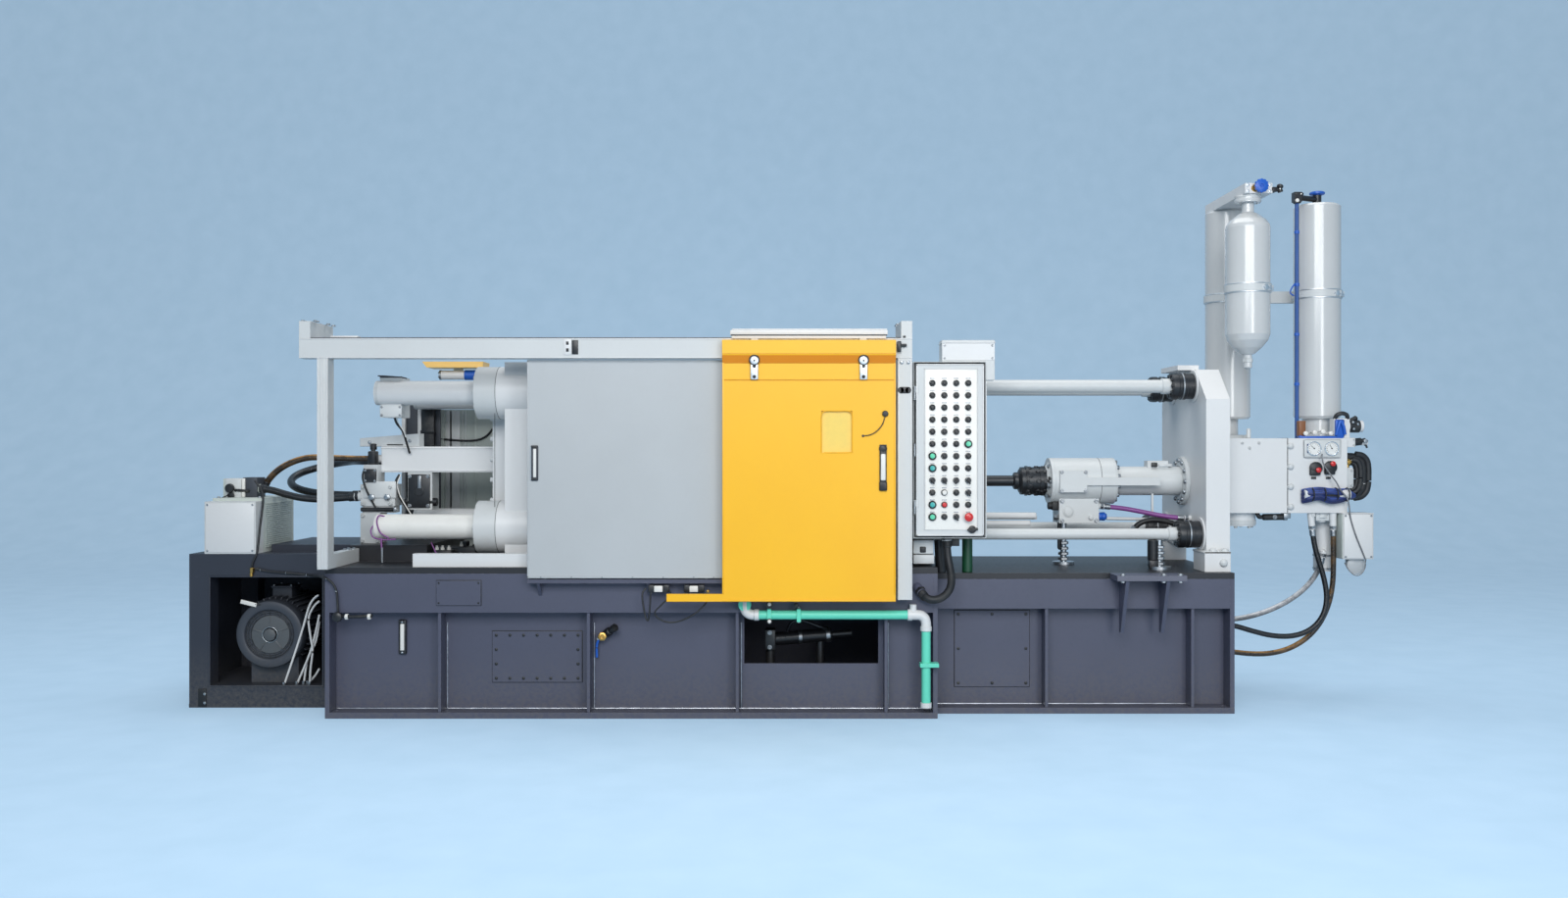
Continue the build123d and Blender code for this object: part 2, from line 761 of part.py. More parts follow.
def power_pack():
    bay_top = pack_height - pack_tank_height
    x1 = bed_x0
    frame = block(pack_x0, x1, -pack_half, pack_half, 0, pack_plinth_height)
    for x in (pack_x0, x1 - pack_post):
        for y in (-pack_half, pack_half - pack_post):
            frame += block(x, x + pack_post, y, y + pack_post, pack_plinth_height, bay_top)
    rear = pack_half - pack_panel_setback
    frame += block(pack_x0 + pack_post, x1 - pack_post, rear - pack_panel_thickness, rear,
                   pack_plinth_height, bay_top)
    end = pack_x0 + pack_panel_setback
    frame += block(end, end + pack_panel_thickness, pack_post - pack_half, pack_half - pack_post,
                   pack_plinth_height, bay_top)
    tank = block(pack_x0, x1, -pack_half, pack_half, bay_top, pack_height)
    cover = block(x1 - pack_cover_length, x1, pack_cover_front_y, pack_half, pack_height,
                  pack_height + pack_cover_height)
    save("power_pack_frame", frame, tank, cover)

    motor_x = (pack_x0 + x1) / 2
    motor_y0 = -pack_half + motor_setback
    motor_y1 = motor_y0 + motor_length
    motor = bar_y(motor_x, motor_y0, motor_y1, motor_axis_z, motor_d)
    motor += block(motor_x - motor_foot_width / 2, motor_x + motor_foot_width / 2,
                   motor_y0 + motor_foot_setback, motor_y1 - motor_foot_end, pack_plinth_height, motor_axis_z)
    motor += bar_y(motor_x, motor_y1, motor_y1 + pump_length, motor_axis_z, pump_d)
    save("pump_motor", motor)

    box_x0 = pack_x0 + pack_box_x
    switch_back = -pack_half + switch_box_depth
    box_x1 = box_x0 + switch_box_length
    save("switch_box", block(box_x0, box_x1, -pack_half, switch_back, pack_height,
                             pack_height + switch_box_height))
    top = pack_height + cooler_height
    cooler = block(box_x0, box_x1, switch_back, switch_back + cooler_depth, pack_height, top)
    cooler += block(box_x0, box_x0 + pack_valve_length, pack_valve_y, pack_valve_y + pack_valve_depth, top,
                    top + pack_valve_height)
    cooler += bar_y(box_x0 + pack_valve_length / 3, pack_valve_y - pack_knob_length, pack_valve_y,
                    top + pack_valve_height / 2, pack_knob_d)
    cooler += start_fitting(upper_hose, upper_hose_d, pack_fitting_length)
    cooler += start_fitting(lower_hose, lower_hose_d, pack_fitting_length)
    save("oil_cooler", cooler)


def platen(x0, x1, centre_hole_d=0.0, hole_z=0.0):
    """A platen with round corner bosses that the tie bars pass through."""
    body = block(x0, x1, -platen_half, platen_half, platen_bottom, machine_axis_z + platen_height / 2)
    for y, z in tie_spots:
        body += bar_x(x0, x1, y, z, boss_d)
    for y, z in tie_spots:
        body -= bar_x(x0 - 1, x1 + 1, y, z, tie_bar_d + 2 * hole_clearance)
    if centre_hole_d:
        body -= bar_x(x0 - 1, x1 + 1, 0, hole_z, centre_hole_d)
    return body


def with_feet(body, x0, x1):
    """Feet under a platen, down to the bed's deck."""
    for side in (-1, 1):
        y = side * (platen_half - platen_foot_width)
        body += block(x0, x1, min(y, y + side * platen_foot_width / 2), max(y, y + side * platen_foot_width / 2),
                      bed_left_height, platen_bottom + 1)
    return body


def clamp_end():
    tail = platen(tail_left, tail_right)
    for y, z in tie_spots:
        tail += bar_x(boss_left, tail_left, y, z, boss_d) - bar_x(boss_left - 1, tail_left + 1, y, z,
                                                                 tie_bar_d + 2 * hole_clearance)
    save("tail_platen", with_feet(tail, tail_left, tail_right))
    save("moving_platen", with_feet(platen(moving_left, moving_right), moving_left, moving_right))
    fixed = platen(fixed_left, fixed_platen_right, sleeve_outer_d + 2 * hole_clearance, shot_axis_z)
    save("fixed_platen", with_feet(fixed, fixed_left, fixed_platen_right))

    save("tie_bars", *[bar_x(tie_tail_x, fixed_platen_right, y, z, tie_bar_d) for y, z in tie_spots])
    nuts = [
        bar_x(nut_left, boss_left, y, z, boss_d)
        - bar_x(nut_left - 1, boss_left + 1, y, z, tie_bar_d + 2 * hole_clearance)
        for y, z in tie_spots
    ]
    save("tie_bar_nuts", *nuts)

    half = clamp_cylinder_width / 2
    cylinder = block(flange_left, tail_left, -clamp_flange_width / 2, clamp_flange_width / 2,
                     machine_axis_z - clamp_flange_height / 2, machine_axis_z + clamp_flange_height / 2)
    cylinder += block(clamp_end_x, flange_left, -half, half, clamp_bottom, clamp_top)
    cylinder += end_fitting(upper_hose, upper_hose_d, clamp_port_length)
    cylinder += end_fitting(loop_hose, loop_hose_d, clamp_port_length)
    save("clamp_cylinder", cylinder)

    links = []
    crosshead_x = (tail_right + moving_left) / 2 + crosshead_shift
    for y in (-tie_half / 2 - link_width, tie_half / 2):
        for side in (-1, 1):
            z = machine_axis_z + side * link_spread
            links.append(block(tail_right, moving_left, y, y + link_width, z - link_height / 2,
                               z + link_height / 2))
    head = bar_x(tail_right, crosshead_x, 0, machine_axis_z, crosshead_rod_d)
    head += block(crosshead_x, crosshead_x + crosshead_length, -crosshead_half, crosshead_half,
                  machine_axis_z - crosshead_height / 2, machine_axis_z + crosshead_height / 2)
    head += block(crosshead_x + crosshead_length, moving_left, -crosshead_tie / 2, crosshead_tie / 2,
                  machine_axis_z - crosshead_tie / 2, machine_axis_z + crosshead_tie / 2)
    save("toggle", *links, head)


def clamp_fittings():
    """The manifold column at the clamp cylinder's end, and what is fixed to the cylinder and a tie bar."""
    y0, y1 = clamp_block_y, clamp_block_y + clamp_block_width
    x0 = clamp_end_x - middle_block_left
    upper_top = clamp_bottom + upper_block_rise
    upper_low = upper_top - upper_block_height
    middle_low = upper_low - middle_block_height
    strip_low = middle_low - strip_block_height
    column = block(clamp_end_x - upper_block_length, clamp_end_x, y0, y1, upper_low, upper_top)
    column += block(x0, clamp_end_x + middle_block_right, y0, y1, middle_low, upper_low)
    column += block(x0 + rib_edge, clamp_end_x + middle_block_right - rib_edge, y0 + rib_edge, y1 - rib_edge,
                    strip_low, middle_low)
    column += block(x0, x0 + lower_block_length, y0, y1, bed_left_height + deck_box_height, strip_low)
    column += start_fitting(loop_hose, loop_hose_d, hose_fitting_length + rib_edge)
    column += end_fitting(lower_hose, lower_hose_d, hose_fitting_length + rib_edge)

    hung_x = clamp_end_x + hung_valve_left
    hung = block(hung_x, hung_x + hung_valve_length, -hung_valve_width / 2, hung_valve_width / 2,
                 clamp_bottom - hung_valve_height, clamp_bottom)
    x0 = clamp_end_x - arm_left
    x1 = x0 + arm_length
    outline = [(x0, clamp_top), (x1, clamp_top), (x1, clamp_top + arm_rise),
               (x0, clamp_top + arm_left_height)]
    arm = prism_y(outline, -arm_width / 2, arm_width / 2)
    x0 = tie_tail_x + end_box_inset
    z = machine_axis_z + tie_half
    y0 = -tie_half - end_box_front
    end_box = block(x0, x0 + end_box_length, y0, y0 + end_box_width, z - end_box_low, z + end_box_high)
    end_box -= bar_x(x0 - 1, x0 + end_box_length + 1, -tie_half, z, tie_bar_d + 2 * hole_clearance)
    save("clamp_fittings", column, hung, arm, end_box)


def rear_guard():
    """The fixed guard behind the tie bars, with the yellow canopy that stands on it."""
    x0, x1 = bed_x0 + rear_guard_x, post_left_x
    y0, y1 = rear_guard_y, rear_guard_y + rear_guard_thickness
    low, top = bed_left_height, bed_left_height + rear_guard_height
    guard = block(x0, x1, y0, y1, low, top)
    pitch = (x1 - x0 - rear_guard_post) / rear_guard_bays
    for i in range(rear_guard_bays + 1):
        x = x0 + i * pitch
        guard += block(x, x + rear_guard_post, y0 - rear_guard_thickness, y1, low, top)
    rail_top = top + 2 * rear_guard_post
    guard += block(bed_x0 + rear_outer_posts[0], x1, y0, y1, rail_top - rear_guard_post, rail_top)
    guard += block(x1 - rear_guard_post, x1, y0, y1, top, rail_top)
    for offset in rear_outer_posts:
        x = bed_x0 + offset
        guard += block(x, x + rear_guard_post, y0, y1, low, rail_top)
    canopy_x0 = bed_x0 + canopy_x
    canopy_x1 = canopy_x0 + canopy_length
    canopy_low = top + canopy_rise
    upright_x = canopy_x1 - rear_guard_post
    guard += block(upright_x, canopy_x1, y0, y1, top, canopy_low)
    y = (y0 + y1) / 2
    z = canopy_low - air_cylinder_drop
    air_x1 = upright_x - rear_guard_post
    guard += bar_x(air_x1 - air_cylinder_length, air_x1, y, z, air_cylinder_d)
    guard += bar_x(air_x1, upright_x, y, z, air_cylinder_d / 2)
    middle = air_x1 - air_cylinder_length / 2
    guard += block(middle - rear_guard_post, middle + rear_guard_post, y0, y1, z, canopy_low)
    save("rear_guard", guard)
    outline = [(canopy_x0, canopy_low + canopy_height), (canopy_x0 + rear_guard_post, canopy_low),
               (canopy_x1, canopy_low), (canopy_x1, canopy_low + canopy_height)]
    save("rear_canopy", prism_y(outline, y - canopy_depth / 2, y + canopy_depth / 2))


def gantry():
    y0, y1 = gantry_front_y, gantry_rear_y
    profile = [
        (y0, gantry_underside_z), (y1, gantry_underside_z), (y1, gantry_underside_z + gantry_lip),
        (y0 + gantry_web, gantry_underside_z + gantry_lip), (y0 + gantry_web, gantry_top_z - gantry_lip),
        (y1, gantry_top_z - gantry_lip), (y1, gantry_top_z), (y0, gantry_top_z),
    ]
    beam = prism_x(profile, gantry_x0, gantry_x1)
    for x in (gantry_x0, gantry_x1 - cross_block_width):
        beam += block(x, x + cross_block_width, y0, y0 + cross_block_length, gantry_top_z,
                      gantry_top_z + cross_block_height)
    save("gantry_beam", beam)

    leg = block(bed_x0, bed_x0 + leg_width, y0, y1, bed_left_height, gantry_underside_z)
    leg += block(bed_x0, bed_x0 + leg_width, y0, y0 + leg_foot_length, bed_left_height,
                 bed_left_height + leg_foot_height)
    post = block(post_left_x, post_left_x + post_width, y0, -left_half, post_bottom_z, gantry_underside_z)
    save("gantry_legs", leg, post)

    top = guard_bottom_z - running_clearance - track_height
    track = block(guard_left_x, post_left_x, guard_front_y, guard_back_y + roller_width + track_lip, top,
                  top + track_height)
    shape = [(-left_half, top), (guard_front_y, top), (-left_half, top - bracket_height)]
    for i in range(bracket_count):
        x = guard_left_x + bracket_first + i * bracket_pitch
        track += prism_x(shape, x, x + rib_thickness)
    save("guard_track", track)


def guards():
    hood_front = door_front_y - hood_depth
    panel = block(door_x0, door_x1, door_front_y, door_back_y, door_bottom_z, door_top_z)
    hood = [(door_front_y + 1, door_top_z), (hood_front, door_top_z), (hood_front, door_top_z - hood_height),
            (door_front_y + 1, door_top_z - hood_height - 2 * hood_depth)]
    panel += prism_x(hood, door_x0, door_x1)
    panel += block(door_x0 - sill_length, door_x0 + 1, door_front_y, door_front_y + sill_thickness,
                   door_bottom_z, door_bottom_z + sill_height)
    x = door_x0 + pane_left
    hole = block(x, x + pane_width, hood_front - 1, door_back_y + 1, pane_bottom_z, pane_bottom_z + pane_height)
    save("front_door", panel - hole)
    middle = (door_front_y + door_back_y) / 2
    save("front_door_pane", block(x, x + pane_width, middle - pane_thickness / 2, middle + pane_thickness / 2,
                                  pane_bottom_z, pane_bottom_z + pane_height))
    handle_x = door_x1 - handle_inset
    handle_low = door_bottom_z + handle_z
    cover_top = gantry_underside_z - leg_width / 2
    hanger_places = [door_x0 + hanger_offset + i * hanger_pitch for i in range(2)]
    fittings = [block(handle_x, handle_x + handle_width, door_front_y - handle_proud, door_front_y,
                      handle_low, handle_low + handle_height)]
    fittings += [block(x, x + hanger_width, door_front_y - hanger_cover_proud, door_front_y,
                       cover_top - hanger_cover_height, cover_top) for x in hanger_places]
    save("front_door_fittings", *fittings)

    # The door hangs from a bar over the gantry beam, on rollers that run along the beam's top.
    bar_low = gantry_top_z + (hanger_roller_d - hanger_bar_height / 3)
    bar_high = bar_low + hanger_bar_height
    bar_y0 = gantry_front_y + track_lip
    bar_y1 = bar_y0 + gantry_web
    hanger = block(door_x0 + hanger_inset, door_x1 - hanger_inset, bar_y0, bar_y1, bar_low, bar_high)
    for x in hanger_places:
        hanger += block(x, x + hanger_width, door_back_y - hanger_plate, door_back_y, door_top_z, bar_high)
        hanger += block(x, x + hanger_width, door_back_y - hanger_plate, bar_y1, bar_high - hanger_plate,
                        bar_high)
        hanger += bar_y(x + hanger_width / 2, bar_y0, bar_y1,
                        gantry_top_z + hole_clearance + hanger_roller_d / 2, hanger_roller_d)
    save("front_door_hanger", hanger)

    roller_z = guard_bottom_z - running_clearance + hole_clearance + roller_d / 2
    save("toggle_guard", block(guard_left_x, guard_x1, guard_front_y, guard_back_y, guard_bottom_z,
                               guard_top_z))
    handle_x = guard_left_x + guard_handle_inset
    handle_low = guard_bottom_z + guard_handle_z
    fittings = [block(handle_x, handle_x + handle_width, guard_front_y - hanger_cover_proud, guard_front_y,
                      handle_low, handle_low + guard_handle_height)]
    for offset in (roller_inset, guard_width - roller_inset):
        fittings.append(bar_y(guard_left_x + offset, guard_back_y, guard_back_y + roller_width, roller_z,
                              roller_d))
    save("toggle_guard_fittings", *fittings)


def hinge_places():
    """Where the control box's hinge pins stand: X, Y and the middle height of each."""
    y = panel_front_y - panel_door_gap - panel_door_thickness - hinge_pin_d / 2
    low = panel_bottom_z + hinge_offset
    high = panel_bottom_z + panel_height - hinge_offset
    return [(panel_left_x + hinge_inset, y, z) for z in (low, high)]


def control_box():
    x0, x1 = panel_left_x, panel_left_x + panel_width
    z0, z1 = panel_bottom_z, panel_bottom_z + panel_height
    y0, y1 = panel_front_y, panel_front_y + panel_depth
    shell = block(x0, x1, y0, y1, z0, z1)
    shell -= block(x0 + panel_sheet, x1 - panel_sheet, y0 - 1, y1 - panel_sheet, z0 + panel_sheet,
                   z1 - panel_sheet)
    bracket = block(x0 + panel_bracket_inset, fixed_platen_right - panel_bracket_inset, y1, -platen_half,
                    machine_axis_z - panel_bracket_height / 2, machine_axis_z + panel_bracket_height / 2)
    y = y0 + top_box_setback
    top = block(x0 + top_box_x, x1 + top_box_proud, y, y + top_box_depth, z1, z1 + top_box_height)
    top += block(x1, x1 + top_box_proud, y, y + side_box_depth, z1 - side_box_height, z1 + 1)
    top += start_fitting(conduit, conduit_d, conduit_gland_length + panel_sheet / 2)
    for x, y, z in hinge_places():
        top += bar_z(x, y, z - hinge_length / 2, z, hinge_knuckle_d)
        top += bar_z(x, y, z - hinge_length / 2, z + hinge_length / 2, hinge_pin_d)
        top += block(x0, x + hinge_inset, y, y0 + 1, z - hinge_length / 2, z)
    save("panel_box", shell + bracket + top)

    front = y0 - panel_door_gap
    door = block(x0 + panel_margin, x1 - panel_margin, front - panel_door_thickness, front, z0 + panel_margin,
                 z1 - panel_margin)
    face = front - panel_door_thickness
    for x, y, z in hinge_places():
        door += bar_z(x, y, z + 1, z + hinge_length / 2, hinge_knuckle_d)
        door += block(x, x + hinge_leaf_width, face - 4, face + 1, z + 1, z + hinge_length / 2)
    for x, y, z in hinge_places():
        door -= bar_z(x, y, z - hinge_length, z + hinge_length, hinge_pin_d + 2 * fit_clearance)
    save("panel_door", door)
    first_x = x0 + panel_width / 2 - (button_columns - 1) * button_pitch_x / 2
    first_z = z0 + panel_height / 2 - (button_rows - 1) * button_pitch_z / 2
    buttons = [
        bar_y(first_x + i * button_pitch_x, face - button_height, face, first_z + j * button_pitch_z, button_d)
        for i in range(button_columns)
        for j in range(button_rows)
    ]
    save("panel_buttons", *buttons)


def shot_end():
    sleeve_x0 = fixed_left - sleeve_left_proud
    sleeve_x1 = fixed_platen_right + sleeve_right_proud
    sleeve = bar_x(sleeve_x0, sleeve_x1, 0, shot_axis_z, sleeve_outer_d)
    sleeve -= bar_x(sleeve_x0 - 1, sleeve_x1 + 1, 0, shot_axis_z, sleeve_bore_d)
    pour_x = fixed_platen_right + pour_hole_gap
    sleeve -= block(pour_x, pour_x + pour_hole_length, -pour_hole_width / 2, pour_hole_width / 2, shot_axis_z,
                    shot_axis_z + sleeve_outer_d)
    save("shot_sleeve", sleeve)

    tip_x1 = sleeve_x1 - tip_inset
    rod = bar_x(tip_x1 - plunger_tip_length, tip_x1, 0, shot_axis_z, sleeve_bore_d - 2 * fit_clearance)
    rod += bar_x(tip_x1, coupling_left_x, 0, shot_axis_z, plunger_rod_d)
    save("plunger_rod", rod)
    coupling_x1 = coupling_left_x + coupling_length
    coupling = bar_x(coupling_left_x, coupling_x1, 0, shot_axis_z, coupling_d)
    piston_x1 = cylinder_bore_end - piston_rest_gap
    coupling += bar_x(coupling_x1, piston_x1, 0, shot_axis_z, piston_rod_d - 2 * fit_clearance)
    coupling += bar_x(piston_x1 - piston_length, piston_x1, 0, shot_axis_z, piston_d - 2 * fit_clearance)
    save("plunger_coupling", coupling)

    drum_x1 = cylinder_x0 + drum_length
    cylinder = bar_x(cylinder_x0, drum_x1 + flange_length, 0, shot_axis_z, drum_d)
    cylinder += bar_x(drum_x1, shot_frame_left_x, 0, shot_axis_z, tube_d)
    plate_x = cylinder_x0 + side_plate_x
    plate_y = -drum_d / 2 - side_plate_proud
    cylinder += block(plate_x, plate_x + side_plate_length, plate_y, 0, shot_axis_z - side_plate_height / 2,
                      shot_axis_z + side_plate_height / 2)
    cylinder += block(plate_x, plate_x + side_plate_length + side_bar_length, plate_y,
                      plate_y + 2 * side_plate_proud, shot_axis_z - side_bar_height / 2,
                      shot_axis_z + side_bar_height / 2)
    top_x1 = shot_frame_left_x - tube_block_gap
    cylinder += block(top_x1 - tube_block_length, top_x1, -tube_block_width / 2, tube_block_width / 2,
                      shot_axis_z, shot_axis_z + tube_d / 2 + tube_block_height)
    cylinder -= bar_x(cylinder_x0 + cylinder_head_length, cylinder_bore_end, 0, shot_axis_z, piston_d)
    cylinder -= bar_x(cylinder_x0 - 1, cylinder_x0 + cylinder_head_length + 1, 0, shot_axis_z, piston_rod_d)
    save("shot_cylinder", cylinder)

    block_low = lower_rod_z + lower_rod_d / 2 + shot_block_rod_gap
    block_x0 = cylinder_x0 + shot_block_x
    block_x1 = block_x0 + shot_block_length
    manifold = block(block_x0, block_x1, -shot_block_width / 2, shot_block_width / 2, block_low,
                     shot_axis_z - drum_d / 2 + shot_block_overlap)
    manifold -= bar_x(block_x0 - 1, block_x1 + 1, 0, shot_axis_z, drum_d + 2 * hole_clearance)
    save("shot_manifold", manifold + start_fitting(charge_hose, charge_hose_d, hose_fitting_length + rib_edge))

    rods = []
    nuts = []
    for y, z, d in ((upper_rod_y, upper_rod_z, upper_rod_d), (lower_rod_y, lower_rod_z, lower_rod_d)):
        for side in (-1, 1):
            rods.append(bar_x(fixed_platen_right, shot_frame_left_x, side * y, z, d))
            nuts.append(bar_x(shot_frame_left_x - rod_nut_length, shot_frame_left_x, side * y, z, rod_nut_d)
                        - bar_x(fixed_platen_right, shot_frame_left_x + 1, side * y, z, d + 2 * hole_clearance))
    save("shot_frame_rods", *rods)
    save("rod_nuts", *nuts)

    half = shot_frame_width / 2
    outline = [
        (-half, shot_frame_bottom_z), (half, shot_frame_bottom_z), (half, shot_frame_shoulder_z),
        (half - shot_frame_chamfer, shot_frame_top_z), (shot_frame_chamfer - half, shot_frame_top_z),
        (-half, shot_frame_shoulder_z),
    ]
    plate = prism_x(outline, shot_frame_left_x, shot_frame_x1)
    plate += block(shot_frame_left_x - top_plate_length * 2 / 3, shot_frame_left_x + top_plate_length / 3,
                   -top_plate_width / 2, top_plate_width / 2, shot_frame_top_z,
                   shot_frame_top_z + top_plate_height)
    save("shot_frame_plate", plate + end_fitting(charge_hose, charge_hose_d, hose_fitting_length + rib_edge))

    # The frame's pedestals stand on the bed's right end, and the slide ledge on the left half's front.
    stands = []
    for side in (-1, 1):
        low, high = sorted((side * (half + pedestal_proud - pedestal_depth), side * (half + pedestal_proud)))
        stands.append(block(bed_x1 - pedestal_width, bed_x1, low, high, bed_right_height,
                            shot_frame_bottom_z))
    ledge_y = -left_half + ledge_setback
    stands.append(block(bed_x0 + ledge_x, bed_x0 + ledge_x + ledge_length, ledge_y, ledge_y + ledge_depth,
                        bed_left_height, bed_left_height + ledge_height))
    save("deck_pedestals", *stands)

    jacks = []
    for x, y, top in ((cylinder_x0 + first_jack_x, 0.0, block_low),
                      (shot_frame_left_x - second_jack_gap, -lower_rod_y,
                       lower_rod_z - lower_rod_d / 2 - hole_clearance)):
        foot = bar_z(x, y, bed_right_height, bed_right_height + jack_foot_height, jack_foot_d)
        jacks.append(foot + bar_z(x, y, bed_right_height, top, jack_d))
    save("jack_screws", *jacks)
    tray_top = shot_axis_z - tray_top_drop
    save("drip_tray", block(fixed_platen_right, coupling_left_x + tray_overlap, -tray_width / 2,
                            tray_width / 2, tray_top - tray_thickness, tray_top))


def bottle(x, y, low):
    """A gas bottle with a neck down to the block that carries it."""
    half = bottle_d / 2
    neck = bottle_neck_d / 2
    shoulder = half - bottle_round
    outline = [(0, low), (neck, low), (neck, bottle_bottom_z), (shoulder, bottle_bottom_z),
               (half, bottle_bottom_z + bottle_round), (half, bottle_top_z - bottle_round),
               (shoulder, bottle_top_z), (0, bottle_top_z)]
    return turned_z(outline, x, y)


def hydraulic_end():
    inner = block(shot_frame_x1, inner_block_x1, block_front_y, block_rear_y, block_bottom_z, block_top_z)
    outer = block(inner_block_x1, outer_block_x1, block_front_y, outer_block_rear_y, block_bottom_z,
                  block_top_z)
    for points, d in ((left_hose, left_hose_d), (right_hose, right_hose_d)):
        outer += end_fitting(points, d, block_bottom_z - points[-1][2] + rib_edge)
    save("valve_blocks", inner, outer)
    save("gas_bottles", bottle(rear_bottle_x, rear_bottle_y, block_top_z),
         bottle(side_bottle_x, side_bottle_y, block_top_z))

    half = bladder_d / 2
    neck = bladder_neck_d / 2
    valve = bladder_valve_d / 2
    low, top = bladder_bottom_z, bottle_top_z
    flange = bladder_flange_d / 2
    outline = [(0, low - bladder_valve_length), (valve, low - bladder_valve_length), (valve, low)]
    outline += [(half * r, low + bladder_dome * h) for r, h in bladder_dome_profile]
    outline += [(half * r, bladder_shoulder_z - bladder_shoulder * h) for r, h in bladder_shoulder_profile]
    outline += [(neck, bladder_shoulder_z), (neck, top - bladder_flange_height),
                (flange, top - bladder_flange_height), (flange, top), (0, top)]
    save("bladder_accumulator", turned_z(outline, bladder_x, bladder_y))
    middle_x = (rear_bottle_x + bladder_x) / 2
    save("bottle_manifold", block(middle_x - manifold_width / 2, middle_x + manifold_width / 2,
                                  bladder_y - manifold_overhang, rear_bottle_y + manifold_overhang, top,
                                  top + manifold_height))

    bottles = ((rear_bottle_x, rear_bottle_y, bottle_d), (side_bottle_x, side_bottle_y, bottle_d),
               (bladder_x, bladder_y, bladder_d))
    z0, z1 = clamp_band_z - clamp_bar_height / 2, clamp_band_z + clamp_bar_height / 2
    clamp = block(rear_bottle_x, side_bottle_x, clamp_bar_y, clamp_bar_y + clamp_bar_thickness, z0, z1)
    clamp += block(bladder_x, bladder_x + clamp_bar_thickness, bladder_y, rear_bottle_y, z0, z1)
    for x, y, d in bottles:
        clamp += bar_z(x, y, clamp_band_z - clamp_band_height / 2, clamp_band_z + clamp_band_height / 2,
                       d + 2 * clamp_band_thickness)
    for x, y, d in bottles:
        clamp -= bar_z(x, y, z0 - 1, z1 + 1, d + 2 * hole_clearance)
    save("bottle_clamps", clamp)

    x = side_bottle_x - bottle_d / 2 - gas_pipe_gap
    pipe_top = top + gas_pipe_top_gap
    save("gas_pipe", bar_z(x, gas_pipe_y, block_top_z, pipe_top, gas_pipe_d))
    valve_top = top + bottle_valve_height
    middle_z = (pipe_top + valve_top) / 2
    valves = bar_z(side_bottle_x, side_bottle_y, top, valve_top, bottle_valve_d)
    valves += block(x - gas_fitting / 2, x + gas_fitting / 2, gas_pipe_y - gas_fitting / 2,
                    gas_pipe_y + gas_fitting / 2, pipe_top, valve_top)
    valves += bar_between((x, gas_pipe_y, middle_z), (side_bottle_x, side_bottle_y, middle_z), gas_link_d)
    save("bottle_valves", valves)


def outer_valves():
    """The drain cylinder, relay box, gauges, valves and pipes on the outer block and under both blocks."""
    x0, x1 = inner_block_x1, outer_block_x1
    cap_place = shot_frame_x1 + cap_x
    pieces = [bar_z(cap_place, cap_y, block_bottom_z - cap_height, block_bottom_z, cap_d)]

    drain_x = x1 - drain_x_gap
    drain = bar_z(drain_x, drain_y, block_bottom_z - drain_length, block_bottom_z, drain_d)
    px, py, pz = pale_hose[-1]
    port_d = pale_hose_d * hose_fitting_factor
    drain += end_fitting(pale_hose, pale_hose_d)
    drain += bar_between((px, py, pz + hose_fitting_length - port_d / 4),
                         (drain_x, drain_y, pz + hose_fitting_length - port_d / 4), port_d)
    pieces.append(drain)

    box_x = x0 + relay_box_x
    box_y = block_front_y - relay_box_proud
    pieces.append(block(box_x, box_x + relay_box_length, box_y, box_y + relay_box_depth,
                        block_bottom_z - relay_box_height, block_bottom_z))

    low = block_bottom_z + side_block_z
    pieces.append(block(x1, x1 + side_block_length, side_block_y, side_block_y + side_block_depth, low,
                        low + side_block_height))
    port_y = side_block_y + port_block_depth / 2
    port_z = block_top_z - port_block_height / 2
    ports = block(x1, x1 + port_block_length, side_block_y, side_block_y + port_block_depth,
                  block_top_z - port_block_height, block_top_z)
    ports += bar_x(x1 + port_block_length, x1 + port_block_length + port_pipe_length, port_y, port_z,
                   port_pipe_d)
    pieces.append(ports)

    plate_x = x0 + gauge_plate_x
    plate_top = block_top_z - gauge_plate_top_gap
    plate_front = block_front_y - gauge_plate_thickness
    gauges = block(plate_x, plate_x + gauge_plate_length, plate_front, block_front_y,
                   plate_top - gauge_plate_height, plate_top)
    for i in (1, 3):
        gauges += bar_y(plate_x + i * gauge_plate_length / 4, plate_front - gauge_depth, plate_front,
                        plate_top - gauge_plate_height / 2, gauge_d)
    pieces.append(gauges)

    valve_x1 = x1 + top_valve_length / 2
    valve = block(valve_x1 - top_valve_length, valve_x1, top_valve_y, top_valve_y + top_valve_depth,
                  block_top_z, block_top_z + top_valve_height)
    valve += bar_x(valve_x1, valve_x1 + top_coil_length, top_valve_y + top_valve_depth / 2,
                   block_top_z + top_coil_rise - top_coil_d / 4, top_coil_d)
    pieces.append(valve)

    high, low = block_bottom_z + loop_high, block_bottom_z + loop_low
    route = [(x1, loop_y, high), (x1 + loop_reach, loop_y, high), (x1 + loop_reach, loop_y, low),
             (x1, loop_y, low)]
    bend = (high - low) * hose_arc_share
    pieces.append(pipe_along(route, [bend, bend], loop_d)[0])

    y = block_front_y - pipe_stand_off - bundle_d / 2
    z = block_bottom_z + bundle_z
    start = x0 + bundle_x
    bundle = bar_x(start, x1, y, z, bundle_d)
    for x in (start + saddle_width, x1 - 2 * saddle_width):
        bundle += block(x, x + saddle_width, y, block_front_y, z - saddle_width / 2, z + saddle_width / 2)
    pieces.append(bundle)
    save("outer_valves", *pieces)


